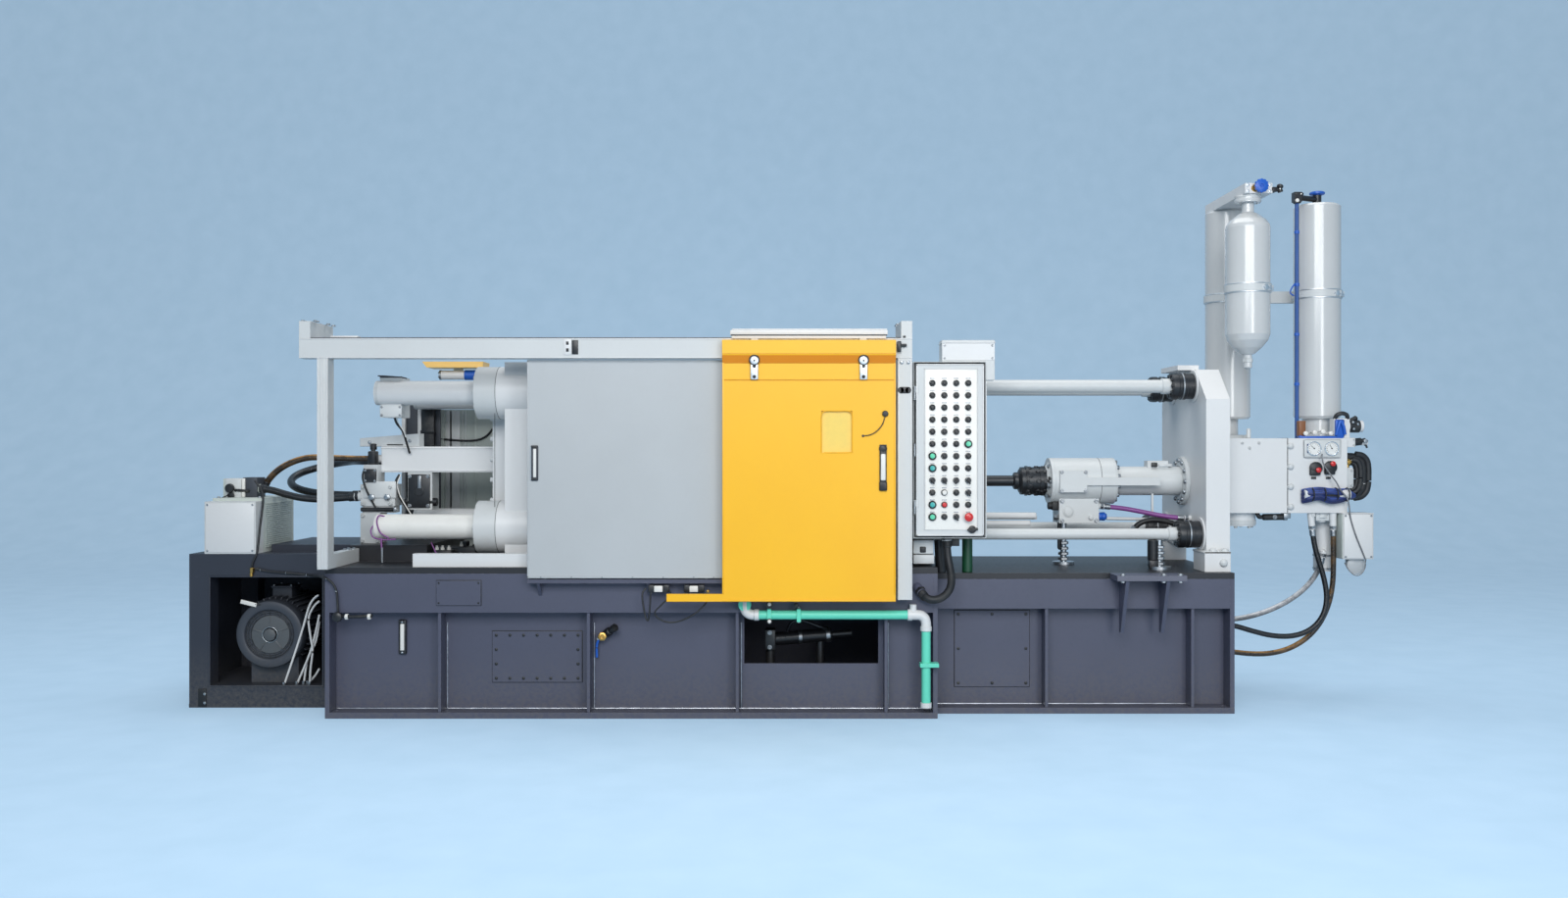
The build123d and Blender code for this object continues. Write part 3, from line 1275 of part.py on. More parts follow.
def hoses():
    hose("pack_hose_upper", upper_hose, upper_hose_d)
    hose("pack_hose_loop", loop_hose, loop_hose_d)
    hose("pack_hose_lower", lower_hose, lower_hose_d)
    hose("return_hose_pale", pale_hose, pale_hose_d)
    hose("return_hose_left", left_hose, left_hose_d)
    hose("return_hose_right", right_hose, right_hose_d)
    hose("panel_conduit", conduit, conduit_d)
    hose("charge_hose", charge_hose, charge_hose_d)


def main():
    os.makedirs("parts", exist_ok=True)
    bed()
    water_pipes()
    power_pack()
    clamp_end()
    clamp_fittings()
    rear_guard()
    gantry()
    guards()
    control_box()
    shot_end()
    hydraulic_end()
    outer_valves()
    hoses()


main()
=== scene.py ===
import math
import random

import bmesh
import bpy
from mathutils import Matrix, Vector


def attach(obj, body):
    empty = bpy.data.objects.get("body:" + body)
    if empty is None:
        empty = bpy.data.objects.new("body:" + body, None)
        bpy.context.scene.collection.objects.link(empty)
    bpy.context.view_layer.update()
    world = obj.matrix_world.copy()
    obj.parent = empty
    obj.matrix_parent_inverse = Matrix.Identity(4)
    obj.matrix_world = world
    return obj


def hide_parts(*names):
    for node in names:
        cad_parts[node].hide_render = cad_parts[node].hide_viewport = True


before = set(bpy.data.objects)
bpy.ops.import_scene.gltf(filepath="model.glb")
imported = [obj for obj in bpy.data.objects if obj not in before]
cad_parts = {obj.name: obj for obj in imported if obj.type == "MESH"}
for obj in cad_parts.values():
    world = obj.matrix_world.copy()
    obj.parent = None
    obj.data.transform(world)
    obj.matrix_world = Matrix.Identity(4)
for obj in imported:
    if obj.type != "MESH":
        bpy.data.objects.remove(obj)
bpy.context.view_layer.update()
random.seed(7)

# Sizes in this file are millimetres in the machine's own frame, unless they are named otherwise.
MM = 0.001
AXES = {"x": Vector((1, 0, 0)), "y": Vector((0, 1, 0)), "z": Vector((0, 0, 1)),
        "-x": Vector((-1, 0, 0)), "-y": Vector((0, -1, 0)), "-z": Vector((0, 0, -1))}


# Camera, at the photographer's standing eye height and looking straight at the machine's side. The focal
# length and the middle of the picture are in the photograph's own pixels.
FOCAL, MIDDLE_X, MIDDLE_Y = 1303.0, 800.0, 458.0
EYE_Y, EYE_Z = -9275.0, 1782.0
scene = bpy.context.scene
scene.view_settings.view_transform = "Standard"
camera_data = bpy.data.cameras.new("camera")
camera_data.sensor_width = 36.0
camera_data.lens = 29.32
camera_data.clip_end = 200.0
camera = bpy.data.objects.new("camera", camera_data)
camera.location = (0.0, EYE_Y * MM, EYE_Z * MM)
camera.rotation_euler = (math.radians(90), 0, 0)
scene.collection.objects.link(camera)
scene.camera = camera


# Materials
def linear(rgb):
    return tuple(((c / 255) / 12.92 if c <= 10 else ((c / 255 + 0.055) / 1.055) ** 2.4) for c in rgb) + (1.0,)


def tint(color, factor):
    return tuple(min(1.0, c * factor) for c in color[:3]) + (1.0,)


class Nodes:
    """A short way to add and link shader nodes."""

    def __init__(self, name):
        self.material = bpy.data.materials.new(name)
        self.material.use_nodes = True
        self.tree = self.material.node_tree
        self.shader = self.tree.nodes["Principled BSDF"]

    def add(self, kind, **inputs):
        node = self.tree.nodes.new(kind)
        for key, value in inputs.items():
            self.set(node, key, value)
        return node

    def set(self, node, key, value):
        numbered = key[0] == "i" and key[1:].isdigit()
        self.join(node.inputs[int(key[1:]) if numbered else key.replace("_", " ")], value)

    def join(self, socket, value):
        if isinstance(value, bpy.types.NodeSocket):
            self.tree.links.new(value, socket)
        else:
            socket.default_value = value

    def noise(self, scale, detail, rough=0.5):
        coords = self.add("ShaderNodeTexCoord").outputs["Object"]
        return self.add("ShaderNodeTexNoise", Vector=coords, Scale=scale, Detail=detail, Roughness=rough
                        ).outputs["Fac"]

    def spread(self, value, low, high, to_low=0.0, to_high=1.0):
        node = self.add("ShaderNodeMapRange", Value=value)
        for key, number in zip(("From Min", "From Max", "To Min", "To Max"), (low, high, to_low, to_high)):
            node.inputs[key].default_value = number
        return node.outputs["Result"]

    def math(self, kind, a, b=0.0):
        node = self.add("ShaderNodeMath", i0=a, i1=b)
        node.operation = kind
        return node.outputs[0]

    def mix(self, factor, a, b):
        node = self.add("ShaderNodeMix")
        node.data_type = "RGBA"
        for index, value in ((0, factor), (6, a), (7, b)):
            self.join(node.inputs[index], value)
        return node.outputs[2]

    def edge(self, radius):
        """1 along sharp edges and 0 on flats, with the rounded normal that the bevel gives."""
        bevel = self.add("ShaderNodeBevel", Radius=radius)
        bevel.samples = 4
        normal = self.add("ShaderNodeNewGeometry").outputs["Normal"]
        dot = self.add("ShaderNodeVectorMath", i0=bevel.outputs[0], i1=normal)
        dot.operation = "DOT_PRODUCT"
        return bevel.outputs[0], self.spread(dot.outputs["Value"], 0.995, 0.9)

    def bump(self, height, strength, distance, normal=None):
        node = self.add("ShaderNodeBump", Height=height, Strength=strength, Distance=distance)
        if normal is not None:
            self.set(node, "Normal", normal)
        self.tree.links.new(node.outputs[0], self.shader.inputs["Normal"])

    def shade(self, **inputs):
        """Sets the shader's inputs, which ends a material."""
        for key, value in inputs.items():
            self.set(self.shader, key, value)
        return self.material


DUST, PALE_DUST = linear((122, 116, 106)), linear((128, 124, 118))


def paint(name, rgb, rough, mottle, wear, wear_rgb, peel, dirt, coat=0.0):
    """Sprayed enamel: slow shifts of tone, orange peel, rubbed edges and dust that gathers low down."""
    n = Nodes(name)
    base = linear(rgb)
    slow = n.noise(1.7, 4.0, 0.6)
    color = n.mix(n.spread(slow, 0.3, 0.7), tint(base, 1 - mottle), tint(base, 1 + mottle))
    fine = n.noise(38.0, 5.0, 0.7)
    color = n.mix(n.spread(fine, 0.52, 0.8, 0.0, dirt), color, tint(base, 0.55))
    place = n.add("ShaderNodeSeparateXYZ", Vector=n.add("ShaderNodeTexCoord").outputs["Object"])
    low = n.math("MULTIPLY", n.spread(place.outputs["Z"], 0.45, 0.0), n.spread(fine, 0.35, 0.75))
    color = n.mix(n.math("MULTIPLY", low, dirt * 2.5), color, DUST)
    normal, edge = n.edge(0.004)
    rubbed = n.math("MULTIPLY", edge, n.spread(n.noise(22.0, 6.0, 0.7), 0.45, 0.62, 0.0, wear))
    n.bump(n.noise(420.0, 2.0), peel, 0.0006, normal)
    return n.shade(Base_Color=n.mix(rubbed, color, linear(wear_rgb)), Coat_Weight=coat, Coat_Roughness=0.12,
                   Roughness=n.spread(fine, 0.2, 0.8, rough - 0.06, rough + 0.1))


def metal(name, rgb, rough, scratch, stretch, dark=0.7, wear=0.0):
    """Bare metal with turned or ground marks that run across the stretched axis."""
    n = Nodes(name)
    base = linear(rgb)
    coords = n.add("ShaderNodeTexCoord").outputs["Object"]
    mapping = n.add("ShaderNodeMapping", Vector=coords, Scale=Vector(stretch))
    lines = n.add("ShaderNodeTexNoise", Vector=mapping.outputs[0], Scale=scratch, Detail=4.0,
                  Roughness=0.6).outputs["Fac"]
    stain = n.noise(9.0, 5.0, 0.65)
    n.bump(lines, 0.15 + wear, 0.0004, n.edge(0.0025)[0])
    return n.shade(Base_Color=n.mix(n.spread(stain, 0.35, 0.75), base, tint(base, dark)), Metallic=1.0,
                   Roughness=n.spread(lines, 0.25, 0.75, rough - 0.08, rough + 0.14))


def moulded(name, rgb, rough, grain=0.12, scale=700.0, dust=0.25, coat=0.0):
    """Moulded plastic or rubber: fine grain, with dust that dulls it in patches."""
    n = Nodes(name)
    patches = n.noise(14.0, 5.0, 0.65)
    n.bump(n.noise(scale, 2.0), grain, 0.0005)
    return n.shade(Base_Color=n.mix(n.spread(patches, 0.5, 0.8, 0.0, dust), linear(rgb), PALE_DUST),
                   Roughness=n.spread(patches, 0.3, 0.8, rough - 0.08, rough + 0.12), Coat_Weight=coat)


def braided(name, rgb, bright_rgb, pitch, rough, top_highlight=0.0):
    """A hose cover with a woven or ribbed surface and a painted highlight: a lighter band along its top."""
    n = Nodes(name)
    bright = linear(bright_rgb)
    coords = n.add("ShaderNodeTexCoord").outputs["Object"]
    waves = []
    for turn in (0.6, -0.6):
        mapping = n.add("ShaderNodeMapping", Vector=coords, Rotation=Vector((turn, turn, turn)))
        wave = n.add("ShaderNodeTexWave", Vector=mapping.outputs[0], Scale=pitch, Distortion=0.6, Detail=1.0)
        waves.append(wave.outputs["Fac"])
    weave = n.math("MULTIPLY", *waves)
    patches = n.noise(8.0, 4.0, 0.6)
    base = n.mix(n.spread(patches, 0.5, 0.75, 0.0, 0.7), linear(rgb), bright)
    # Painted highlight: faces that point up are mixed towards a lighter tint in noisy patches, a band that
    # stands for the light on the hose's top
    up = n.add("ShaderNodeSeparateXYZ", Vector=n.add("ShaderNodeNewGeometry").outputs["Normal"]).outputs["Z"]
    highlight_band = n.spread(n.noise(16.0, 4.0, 0.6), 0.3, 0.5, 0.0, top_highlight)
    base = n.mix(n.math("MULTIPLY", n.spread(up, 0.35, 0.75), highlight_band), base, tint(bright, 1.5))
    n.bump(weave, 0.35, 0.001)
    return n.shade(Base_Color=n.mix(n.spread(weave, 0.0, 1.0, 0.0, 0.35), base, bright),
                   Roughness=n.spread(patches, 0.3, 0.7, rough - 0.08, rough + 0.1))


def clear(name, rgb, alpha):
    """A clear sheet with a slight haze."""
    n = Nodes(name)
    haze = n.noise(30.0, 4.0, 0.6)
    return n.shade(Base_Color=n.mix(n.spread(haze, 0.4, 0.7), linear(rgb), tint(linear(rgb), 0.95)),
                   Roughness=n.spread(haze, 0.3, 0.7, 0.14, 0.24), Alpha=alpha, IOR=1.58)


def dial(name):
    """A gauge's white face, a little soiled."""
    n = Nodes(name)
    soil = n.spread(n.noise(60.0, 3.0), 0.4, 0.8, 0.0, 0.3)
    return n.shade(Base_Color=n.mix(soil, linear((236, 237, 235)), linear((205, 206, 204))), Roughness=0.3)


LOOKS_BY_SLOT = {
    "bed_paint": {
        "bed": paint("bed_enamel", (76, 79, 97), 0.46, 0.06, 0.5, (150, 150, 160), 0.14, 0.16),
        "deck": paint("deck_enamel", (27, 26, 30), 0.42, 0.10, 0.5, (130, 128, 128), 0.16, 0.30),
        "shelf": paint("shelf_enamel", (98, 100, 114), 0.5, 0.06, 0.4, (150, 150, 156), 0.12, 0.14),
        "weld": metal("weld_beads", (176, 178, 184), 0.36, 200.0, (1, 1, 1), 0.6, 0.3)},
    "pack_paint": {
        "pack": paint("pack_enamel", (42, 46, 57), 0.48, 0.07, 0.4, (130, 130, 138), 0.12, 0.18)},
    "machine_paint": {
        "light": paint("machine_enamel", (206, 210, 211), 0.38, 0.03, 0.35, (150, 148, 142), 0.10, 0.07),
        "bottle": paint("bottle_enamel", (204, 207, 208), 0.2, 0.03, 0.2, (150, 148, 142), 0.03, 0.05, 0.6),
        "white": paint("white_enamel", (222, 224, 225), 0.34, 0.02, 0.25, (170, 168, 160), 0.06, 0.05),
        "cream": paint("panel_plate_enamel", (246, 245, 240), 0.36, 0.02, 0.15, (170, 168, 160), 0.05, 0.14),
        "grip": moulded("white_moulding", (232, 232, 228), 0.35, 0.08, 700.0, 0.1),
        "dial": dial("gauge_face")},
    "guard_paint": {
        "guard": paint("guard_enamel", (184, 189, 192), 0.36, 0.03, 0.2, (120, 122, 122), 0.08, 0.06),
        "rear": paint("rear_enamel", (196, 205, 200), 0.42, 0.05, 0.2, (90, 92, 92), 0.08, 0.1)},
    "door_paint": {
        "yellow": paint("door_enamel", (255, 191, 26), 0.36, 0.03, 0.25, (140, 110, 60), 0.07, 0.05),
        # Painted light: a paler copy of the door's yellow for the rear canopy, which lies in the beam's
        # shadow; the paleness stands in for light
        "canopy": paint("canopy_enamel_painted_light", (255, 206, 118), 0.36, 0.03, 0.2, (150, 110, 50), 0.07, 0.05),
        # Painted shade: the door's yellow darkened to orange, for the shaded underside of the hood and the
        # shadow under the fold
        "orange": paint("door_enamel_shaded", (226, 138, 4), 0.4, 0.03, 0.2, (140, 100, 40), 0.07, 0.05)},
    "motor_paint": {
        "motor": paint("motor_enamel", (56, 60, 68), 0.5, 0.08, 0.3, (130, 130, 130), 0.15, 0.2),
        "cowl_disc": paint("cowl_disc_enamel", (80, 84, 87), 0.5, 0.12, 0.4, (170, 170, 170), 0.15, 0.3)},
    "water_pipe_paint": {
        "teal": paint("pipe_enamel", (104, 222, 194), 0.35, 0.04, 0.2, (210, 235, 225), 0.05, 0.05),
        "dark_green": paint("green_pipe_enamel", (14, 66, 40), 0.4, 0.08, 0.25, (90, 120, 100), 0.08, 0.12)},
    "blue_paint": {
        "blue": paint("blue_enamel", (30, 92, 190), 0.35, 0.05, 0.25, (120, 150, 190), 0.05, 0.08),
        "pipe_blue": paint("dark_blue_enamel", (36, 82, 150), 0.4, 0.12, 0.3, (130, 160, 200), 0.08, 0.15)},
    "black_steel": {
        "black": paint("black_enamel", (26, 27, 30), 0.36, 0.10, 0.5, (120, 120, 122), 0.12, 0.12)},
    "steel": {
        "steel": metal("ground_steel", (196, 199, 202), 0.30, 90.0, (1, 8, 8)),
        "bar": paint("satin_bar_cover", (220, 222, 223), 0.30, 0.03, 0.2, (150, 150, 150), 0.05, 0.05),
        "chrome": metal("hard_chrome", (222, 224, 226), 0.16, 120.0, (1, 6, 6), 0.85),
        "bolt": metal("zinc_bolts", (168, 170, 172), 0.36, 150.0, (1, 1, 1), 0.6),
        "brass": metal("brass_fittings", (196, 154, 84), 0.30, 110.0, (1, 1, 1), 0.75),
        "plate": metal("zinc_plates", (214, 216, 217), 0.42, 120.0, (1, 1, 1), 0.8)},
    "black_plastic": {
        "plastic": moulded("black_moulding", (24, 24, 26), 0.42),
        "red": moulded("red_moulding", (206, 28, 26), 0.3, 0.06, 700.0, 0.08, 0.3),
        "green": moulded("green_moulding", (96, 214, 172), 0.3, 0.06, 700.0, 0.08, 0.3),
        "cyan": moulded("teal_moulding", (60, 176, 172), 0.3, 0.06, 700.0, 0.08, 0.3),
        "brown": moulded("brown_moulding", (132, 84, 50), 0.4, 0.1, 500.0, 0.15)},
    "hose_rubber": {
        "rubber": moulded("black_rubber", (20, 20, 22), 0.55, 0.2, 500.0, 0.18),
        # The last number of each braided look sets the painted highlight along its top; on the pale hose this
        # band is much of its paleness
        "hose": braided("hose_cover", (12, 12, 14), (34, 34, 36), 150.0, 0.3),
        "brown_hose": braided("brown_hose_cover", (14, 13, 12), (150, 112, 62), 120.0, 0.3, 1.0),
        "pale_hose": braided("pale_hose_cover", (92, 95, 100), (206, 208, 211), 120.0, 0.22, 1.0),
        "purple_hose": moulded("purple_hose_cover", (128, 66, 138), 0.35, 0.08, 500.0, 0.1),
        "bundle": braided("blue_bundle_cover", (16, 28, 84), (62, 88, 160), 160.0, 0.4, 0.6)},
    "pane": {"pane": clear("clear_pane", (255, 222, 116), 0.96)},
}
MATERIALS = {look: (material, slot) for slot, looks in LOOKS_BY_SLOT.items()
             for look, material in looks.items()}

NODE_LOOKS = {
    "bed": "guard_track bed_base_plate bed_webs bed_walls bed_top_rails bed_fittings",
    "deck": "bed_deck",
    "pack": "power_pack_frame",
    "light": "gantry_beam gantry_legs panel_box panel_door switch_box moving_platen fixed_platen tie_bar_nuts"
             " toggle clamp_fittings shot_cylinder shot_manifold shot_frame_rods drip_tray bottle_clamps"
             " front_door_hanger",
    "bottle": "gas_bottles bladder_accumulator",
    "white": "clamp_cylinder tail_platen shot_frame_plate deck_pedestals valve_blocks outer_valves"
             " bottle_manifold",
    "guard": "toggle_guard",
    "rear": "rear_guard oil_cooler",
    "yellow": "front_door",
    "canopy": "rear_canopy",
    "motor": "pump_motor",
    "teal": "water_pipes",
    "pipe_blue": "gas_pipe",
    "black": "rod_nuts bottle_valves plunger_rod plunger_coupling",
    "steel": "shot_sleeve jack_screws toggle_guard_fittings",
    "bar": "tie_bars",
    "plastic": "front_door_fittings panel_buttons",
    "pane": "front_door_pane",
}
for look, names in NODE_LOOKS.items():
    for name in names.split():
        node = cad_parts[name]
        node.data.materials.clear()
        node.data.materials.append(MATERIALS[look][0])


# Mesh making
def circle(count):
    """Angles evenly round a full turn."""
    return [2 * math.pi * i / count for i in range(count)]


def facing(axis):
    """An axis, given by its letter or as a vector, and the turn that takes Z to it."""
    direction = AXES[axis] if isinstance(axis, str) else Vector(axis).normalized()
    return direction, direction.to_track_quat("Z", "Y").to_matrix()


class Piece:
    """Collects solids, in millimetres, into one mesh that rides on a body."""

    def __init__(self, name, look, body="machine"):
        self.name, self.look, self.body = name, look, body
        self.bm = bmesh.new()

    def box(self, x0, x1, y0, y1, z0, z1, soft=2.0, steps=2, turn=None):
        made = bmesh.ops.create_cube(self.bm, size=1.0)["verts"]
        middle = Vector((x0 + x1, y0 + y1, z0 + z1)) / 2
        size = Matrix.Diagonal((abs(x1 - x0), abs(y1 - y0), abs(z1 - z0), 1))
        bmesh.ops.transform(self.bm, matrix=(turn or Matrix()) @ size, verts=made)
        bmesh.ops.translate(self.bm, vec=middle, verts=made)
        edges = list({e for v in made for e in v.link_edges})
        bmesh.ops.bevel(self.bm, geom=edges, offset=soft, segments=steps, profile=0.5, affect="EDGES")
        return self

    def boxes(self, soft, *spans):
        for limits in spans:
            self.box(*limits, soft)
        return self

    def skin(self, rings, sides):
        """Faces between rings of points, where a ring of one point is a pole."""
        for below, above in zip(rings, rings[1:]):
            for i in range(sides):
                j = (i + 1) % sides
                corners = ([below[i], below[j]] if len(below) > 1 else below[:]) + (
                    [above[j], above[i]] if len(above) > 1 else above[:])
                if len(corners) > 2:
                    self.bm.faces.new(corners)
        return self

    def turned(self, outline, start, axis, sides=28):
        """A profile of radius and distance along the axis, turned about it."""
        direction, turn = facing(axis)
        start = Vector(start)
        new = self.bm.verts.new
        return self.skin([
            [new(start + turn @ Vector((r * math.cos(a), r * math.sin(a), h))) for a in circle(sides)]
            if r > 0 else [new(start + direction * h)] for r, h in outline], sides)

    def rod(self, start, end, d, soft=1.5, sides=28):
        """A round bar with softened ends."""
        start, end = Vector(start), Vector(end)
        length = (end - start).length
        r = d / 2
        soft = min(soft, r * 0.6, length * 0.4)
        outline = [(0, 0), (r - soft, 0), (r, soft), (r, length - soft), (r - soft, length), (0, length)]
        return self.turned(outline, start, end - start, sides)

    def spokes(self, centres, axis, radii, degrees, d, soft, sides):
        """Rods that go from a first circle about an axis to a second."""
        starts, ends = (around(centre, axis, r, degrees) for centre, r in zip(centres, radii))
        for start, end in zip(starts, ends):
            self.rod(start, end, d, soft, sides)
        return self

    def ring(self, centre, axis, d, thick, sides=36, turns=10):
        turn = facing(axis)[1]
        centre = Vector(centre)
        rows = [[self.bm.verts.new(centre + turn @ Vector((
            (d / 2 + thick / 2 * math.cos(b)) * math.cos(a),
            (d / 2 + thick / 2 * math.cos(b)) * math.sin(a), thick / 2 * math.sin(b))))
            for b in circle(turns)] for a in circle(sides)]
        for i in range(sides):
            for k in range(turns):
                j, m = (i + 1) % sides, (k + 1) % turns
                self.bm.faces.new((rows[i][k], rows[j][k], rows[j][m], rows[i][m]))
        return self

    def tube(self, points, d, sides=14, wobble=0.0):
        """A tube with round bends through points that are held along their whole way."""
        path = smooth_path([Vector(p) for p in points])
        rings = []
        for i, p in enumerate(path):
            along = (path[min(i + 1, len(path) - 1)] - path[max(i - 1, 0)]).normalized()
            side = along.cross(AXES["z"])
            if side.length < 0.05:
                side = along.cross(AXES["x"])
            side.normalize()
            lift = side.cross(along)
            r = d / 2 * (1 + wobble * random.uniform(-1, 1))
            rings.append([self.bm.verts.new(p + side * r * math.cos(a) + lift * r * math.sin(a))
                          for a in circle(sides)])
        self.skin(rings, sides)
        self.bm.faces.new(rings[0][::-1])
        self.bm.faces.new(rings[-1])
        return self

    def bolts(self, spots, axis, d=16.0):
        """Socket cap screws on washers."""
        r, h = d * 0.75, d
        cap = [(0, h * 0.5), (r * 0.5, h * 0.5), (r * 0.55, h), (r * 0.9, h), (r, h * 0.85), (r, h * 0.15),
               (r * 1.5, h * 0.15), (r * 1.5, 0)]
        for spot in spots:
            self.turned(cap, spot, axis, 14)
        return self

    def hex_bolts(self, spots, axis, d=20.0):
        """Hexagon bolts on washers."""
        r, h = d * 0.85, d * 0.65
        for spot in spots:
            self.turned([(r * 1.25, 0), (r * 1.25, h * 0.2), (0, h * 0.2)], spot, axis, 20)
            self.turned([(r, h * 0.2), (r, h * 0.9), (r * 0.86, h), (0, h)], spot, axis, 6)
        return self

    def domes(self, spots, axis, d=20.0):
        r = d / 2
        outline = [(r, 0), (r, r * 0.3), (r * 0.86, r * 0.65), (r * 0.5, r * 0.9), (0, r)]
        for spot in spots:
            self.turned(outline, spot, axis, 16)
        return self

    def make(self):
        bm = self.bm
        bmesh.ops.recalc_face_normals(bm, faces=bm.faces)
        for face in bm.faces:
            face.smooth = True
        for edge in bm.edges:
            edge.smooth = edge.is_manifold and edge.calc_face_angle(0.0) < SHARP
        bmesh.ops.scale(bm, vec=(MM, MM, MM), verts=bm.verts)
        mesh = bpy.data.meshes.new(self.name)
        bm.to_mesh(mesh)
        bm.free()
        return dress(bpy.data.objects.new(self.name, mesh), self.look, self.body)


PIECES = []
SHARP = math.radians(38)


def piece(name, look, body="machine"):
    """A new piece, which is made with the others once all are drawn."""
    PIECES.append(Piece(name, look, body))
    return PIECES[-1]


def dress(thing, look, body, replaces=()):
    """Gives a piece its material and its body, and hides the nodes that it replaces."""
    material, slot = MATERIALS[look]
    thing.data.materials.append(material)
    scene.collection.objects.link(thing)
    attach(thing, body)
    if replaces:
        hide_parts(*replaces)
    return thing


def smooth_path(points, steps=8):
    """Points along a Catmull-Rom curve."""
    path = []
    for i in range(len(points) - 1):
        a, b = points[i], points[i + 1]
        before = points[i - 1] if i else a * 2 - b
        after = points[i + 2] if i + 2 < len(points) else b * 2 - a
        for k in range(steps):
            t = k / steps
            path.append(0.5 * (2 * a + (b - before) * t + (2 * before - 5 * a + 4 * b - after) * t * t
                               + (3 * a - before - 3 * b + after) * t ** 3))
    return path + [points[-1]]


def grid(xs, ys, zs):
    return [(x, y, z) for x in xs for y in ys for z in zs]


def around(centre, axis, r, degrees):
    """Places on a circle about an axis of the frame."""
    x, y, z = centre
    turns = [(r * math.cos(a), r * math.sin(a)) for a in map(math.radians, degrees)]
    if axis == "x":
        return [(x, y + c, z + s) for c, s in turns]
    return [(x + c, y, z + s) if axis == "y" else (x + c, y + s, z) for c, s in turns]


def sleeve(inner, outer, length, soft=1):
    """The outline of a sleeve with softened ends."""
    return [(inner, 0), (outer, soft), (outer, length - soft), (inner, length)]


def seen(px, py, y):
    """The place of a point of the photograph, in its own pixels, on a plane at a stated depth."""
    reach = (y - EYE_Y) / FOCAL
    return ((px - MIDDLE_X) * reach, y, EYE_Z - (py - MIDDLE_Y) * reach)


def route(*points):
    return [seen(*point) for point in points]


def span(px0, py0, px1, py1, y):
    """Left, right, bottom and top of what shows between two corners of the photograph."""
    (x0, _, z0), (x1, _, z1) = route((px0, py0, y), (px1, py1, y))
    return x0, x1, z0, z1


# Hoses: the same points as the solids' routes, as the control points of one smooth line each
HOSES = {
    "pack_hose_upper": (46, 885, "brown_hose", [
        (-3760, -40, 1507), (-3722.5, -40, 1572), (-3633, -42, 1652), (-3514.5, -46, 1705),
        (-3390, -49, 1727),
        (-3165, -50, 1711), (-2954.5, -50, 1711)]),
    "pack_hose_loop": (54, 1578, "hose", [
        (-3061.5, -75, 1450), (-3180, -75, 1450), (-3380, -58, 1462), (-3550, 5, 1495), (-3640, 120, 1545),
        (-3625, 250, 1598), (-3510, 335, 1643), (-3350, 320, 1674), (-3215, 225, 1690), (-3120, 110, 1693),
        (-3035, 60, 1690), (-2954.5, 55, 1690)]),
    "pack_hose_lower": (50, 690, "hose", [
        (-3742, -150, 1500), (-3665, -150, 1492), (-3560, -152, 1458), (-3440, -155, 1430),
        (-3300, -157, 1422),
        (-3170, -158, 1432), (-3061.5, -158, 1440)]),
    "return_hose_pale": (37, 949, "pale_hose", [
        (3079.5, -160, 562), (3210, -160, 564), (3390, -160, 602), (3550, -160, 668), (3680, -161, 752),
        (3770, -163, 845), (3820, -166, 935), (3836, -168, 1010)]),
    "return_hose_left": (37, 1413, "hose", [
        (3079.5, -230, 545), (3180, -232, 536), (3310, -238, 495), (3460, -244, 458), (3610, -247, 458),
        (3735, -249, 508), (3815, -249, 605), (3842, -246, 730), (3822, -238, 870), (3783, -228, 1005),
        (3756, -220, 1120), (3747, -217, 1210)]),
    "return_hose_right": (37, 1488, "brown_hose", [
        (3079.5, -195, 352), (3190, -195, 340), (3330, -194, 324), (3470, -193, 328), (3605, -192, 365),
        (3730, -192, 443), (3822, -193, 555), (3878, -196, 690), (3900, -202, 830), (3901, -209, 970),
        (3898, -214, 1095), (3895, -216, 1210)]),
    "panel_conduit": (52, 581, "rubber", [
        (1080, -800, 1175), (1083, -802, 1085), (1098, -825, 1000), (1106, -865, 925), (1088, -905, 858),
        (1035, -930, 808), (968, -935, 793), (922, -915, 812), (905, -880, 835)]),
    "charge_hose": (34, 563, "purple_hose", [
        (2305.5, -70, 1368), (2420, -76, 1359), (2560, -103, 1333), (2695, -142, 1305), (2800, -166, 1292),
        (2852, -170, 1290)]),
}


def ferrule(name, points, d, look):
    """The crimped sleeve and nut at a hose's end, in line with its first run."""
    a, b = Vector(points[0]), Vector(points[1])
    r = d / 2
    sleeve_piece = Piece(name, look)
    outline = [(r * 1.0, 46), (r * 1.14, 44)]
    for i in range(4):
        h = 38 - i * 9
        outline += [(r * 1.2, h), (r * 1.2, h - 5), (r * 1.12, h - 7)]
    outline += [(r * 1.12, 1.5), (r * 1.0, 1.0)]
    sleeve_piece.turned(outline, a, b - a, 24)
    sleeve_piece.turned([(r * 1.28, -4), (r * 1.45, -6), (r * 1.45, -26), (r * 1.28, -28)],
                        a, b - a, 6)
    return sleeve_piece.make()


for name, (d, length, look, points) in HOSES.items():
    curve = bpy.data.curves.new(name + "_cord", "CURVE")
    curve.dimensions = "3D"
    spline = curve.splines.new("NURBS")
    spline.points.add(len(points) - 1)
    for spline_point, point in zip(spline.points, points):
        spline_point.co = (*(Vector(point) * MM), 1.0)
    spline.order_u = 3
    spline.use_endpoint_u = True
    spline.resolution_u = 10
    curve.bevel_depth = d / 2 * MM
    curve.bevel_resolution = 5
    curve.use_fill_caps = True
    cord = dress(bpy.data.objects.new(name + "_cord", curve), look, "machine", (name,))
    metal_look = "plastic" if name == "panel_conduit" else "black" if name.startswith("pack") else "bolt"
    ends = [ferrule(name + end, way, d, metal_look)
            for end, way in (("_start", points), ("_end", points[::-1]))]

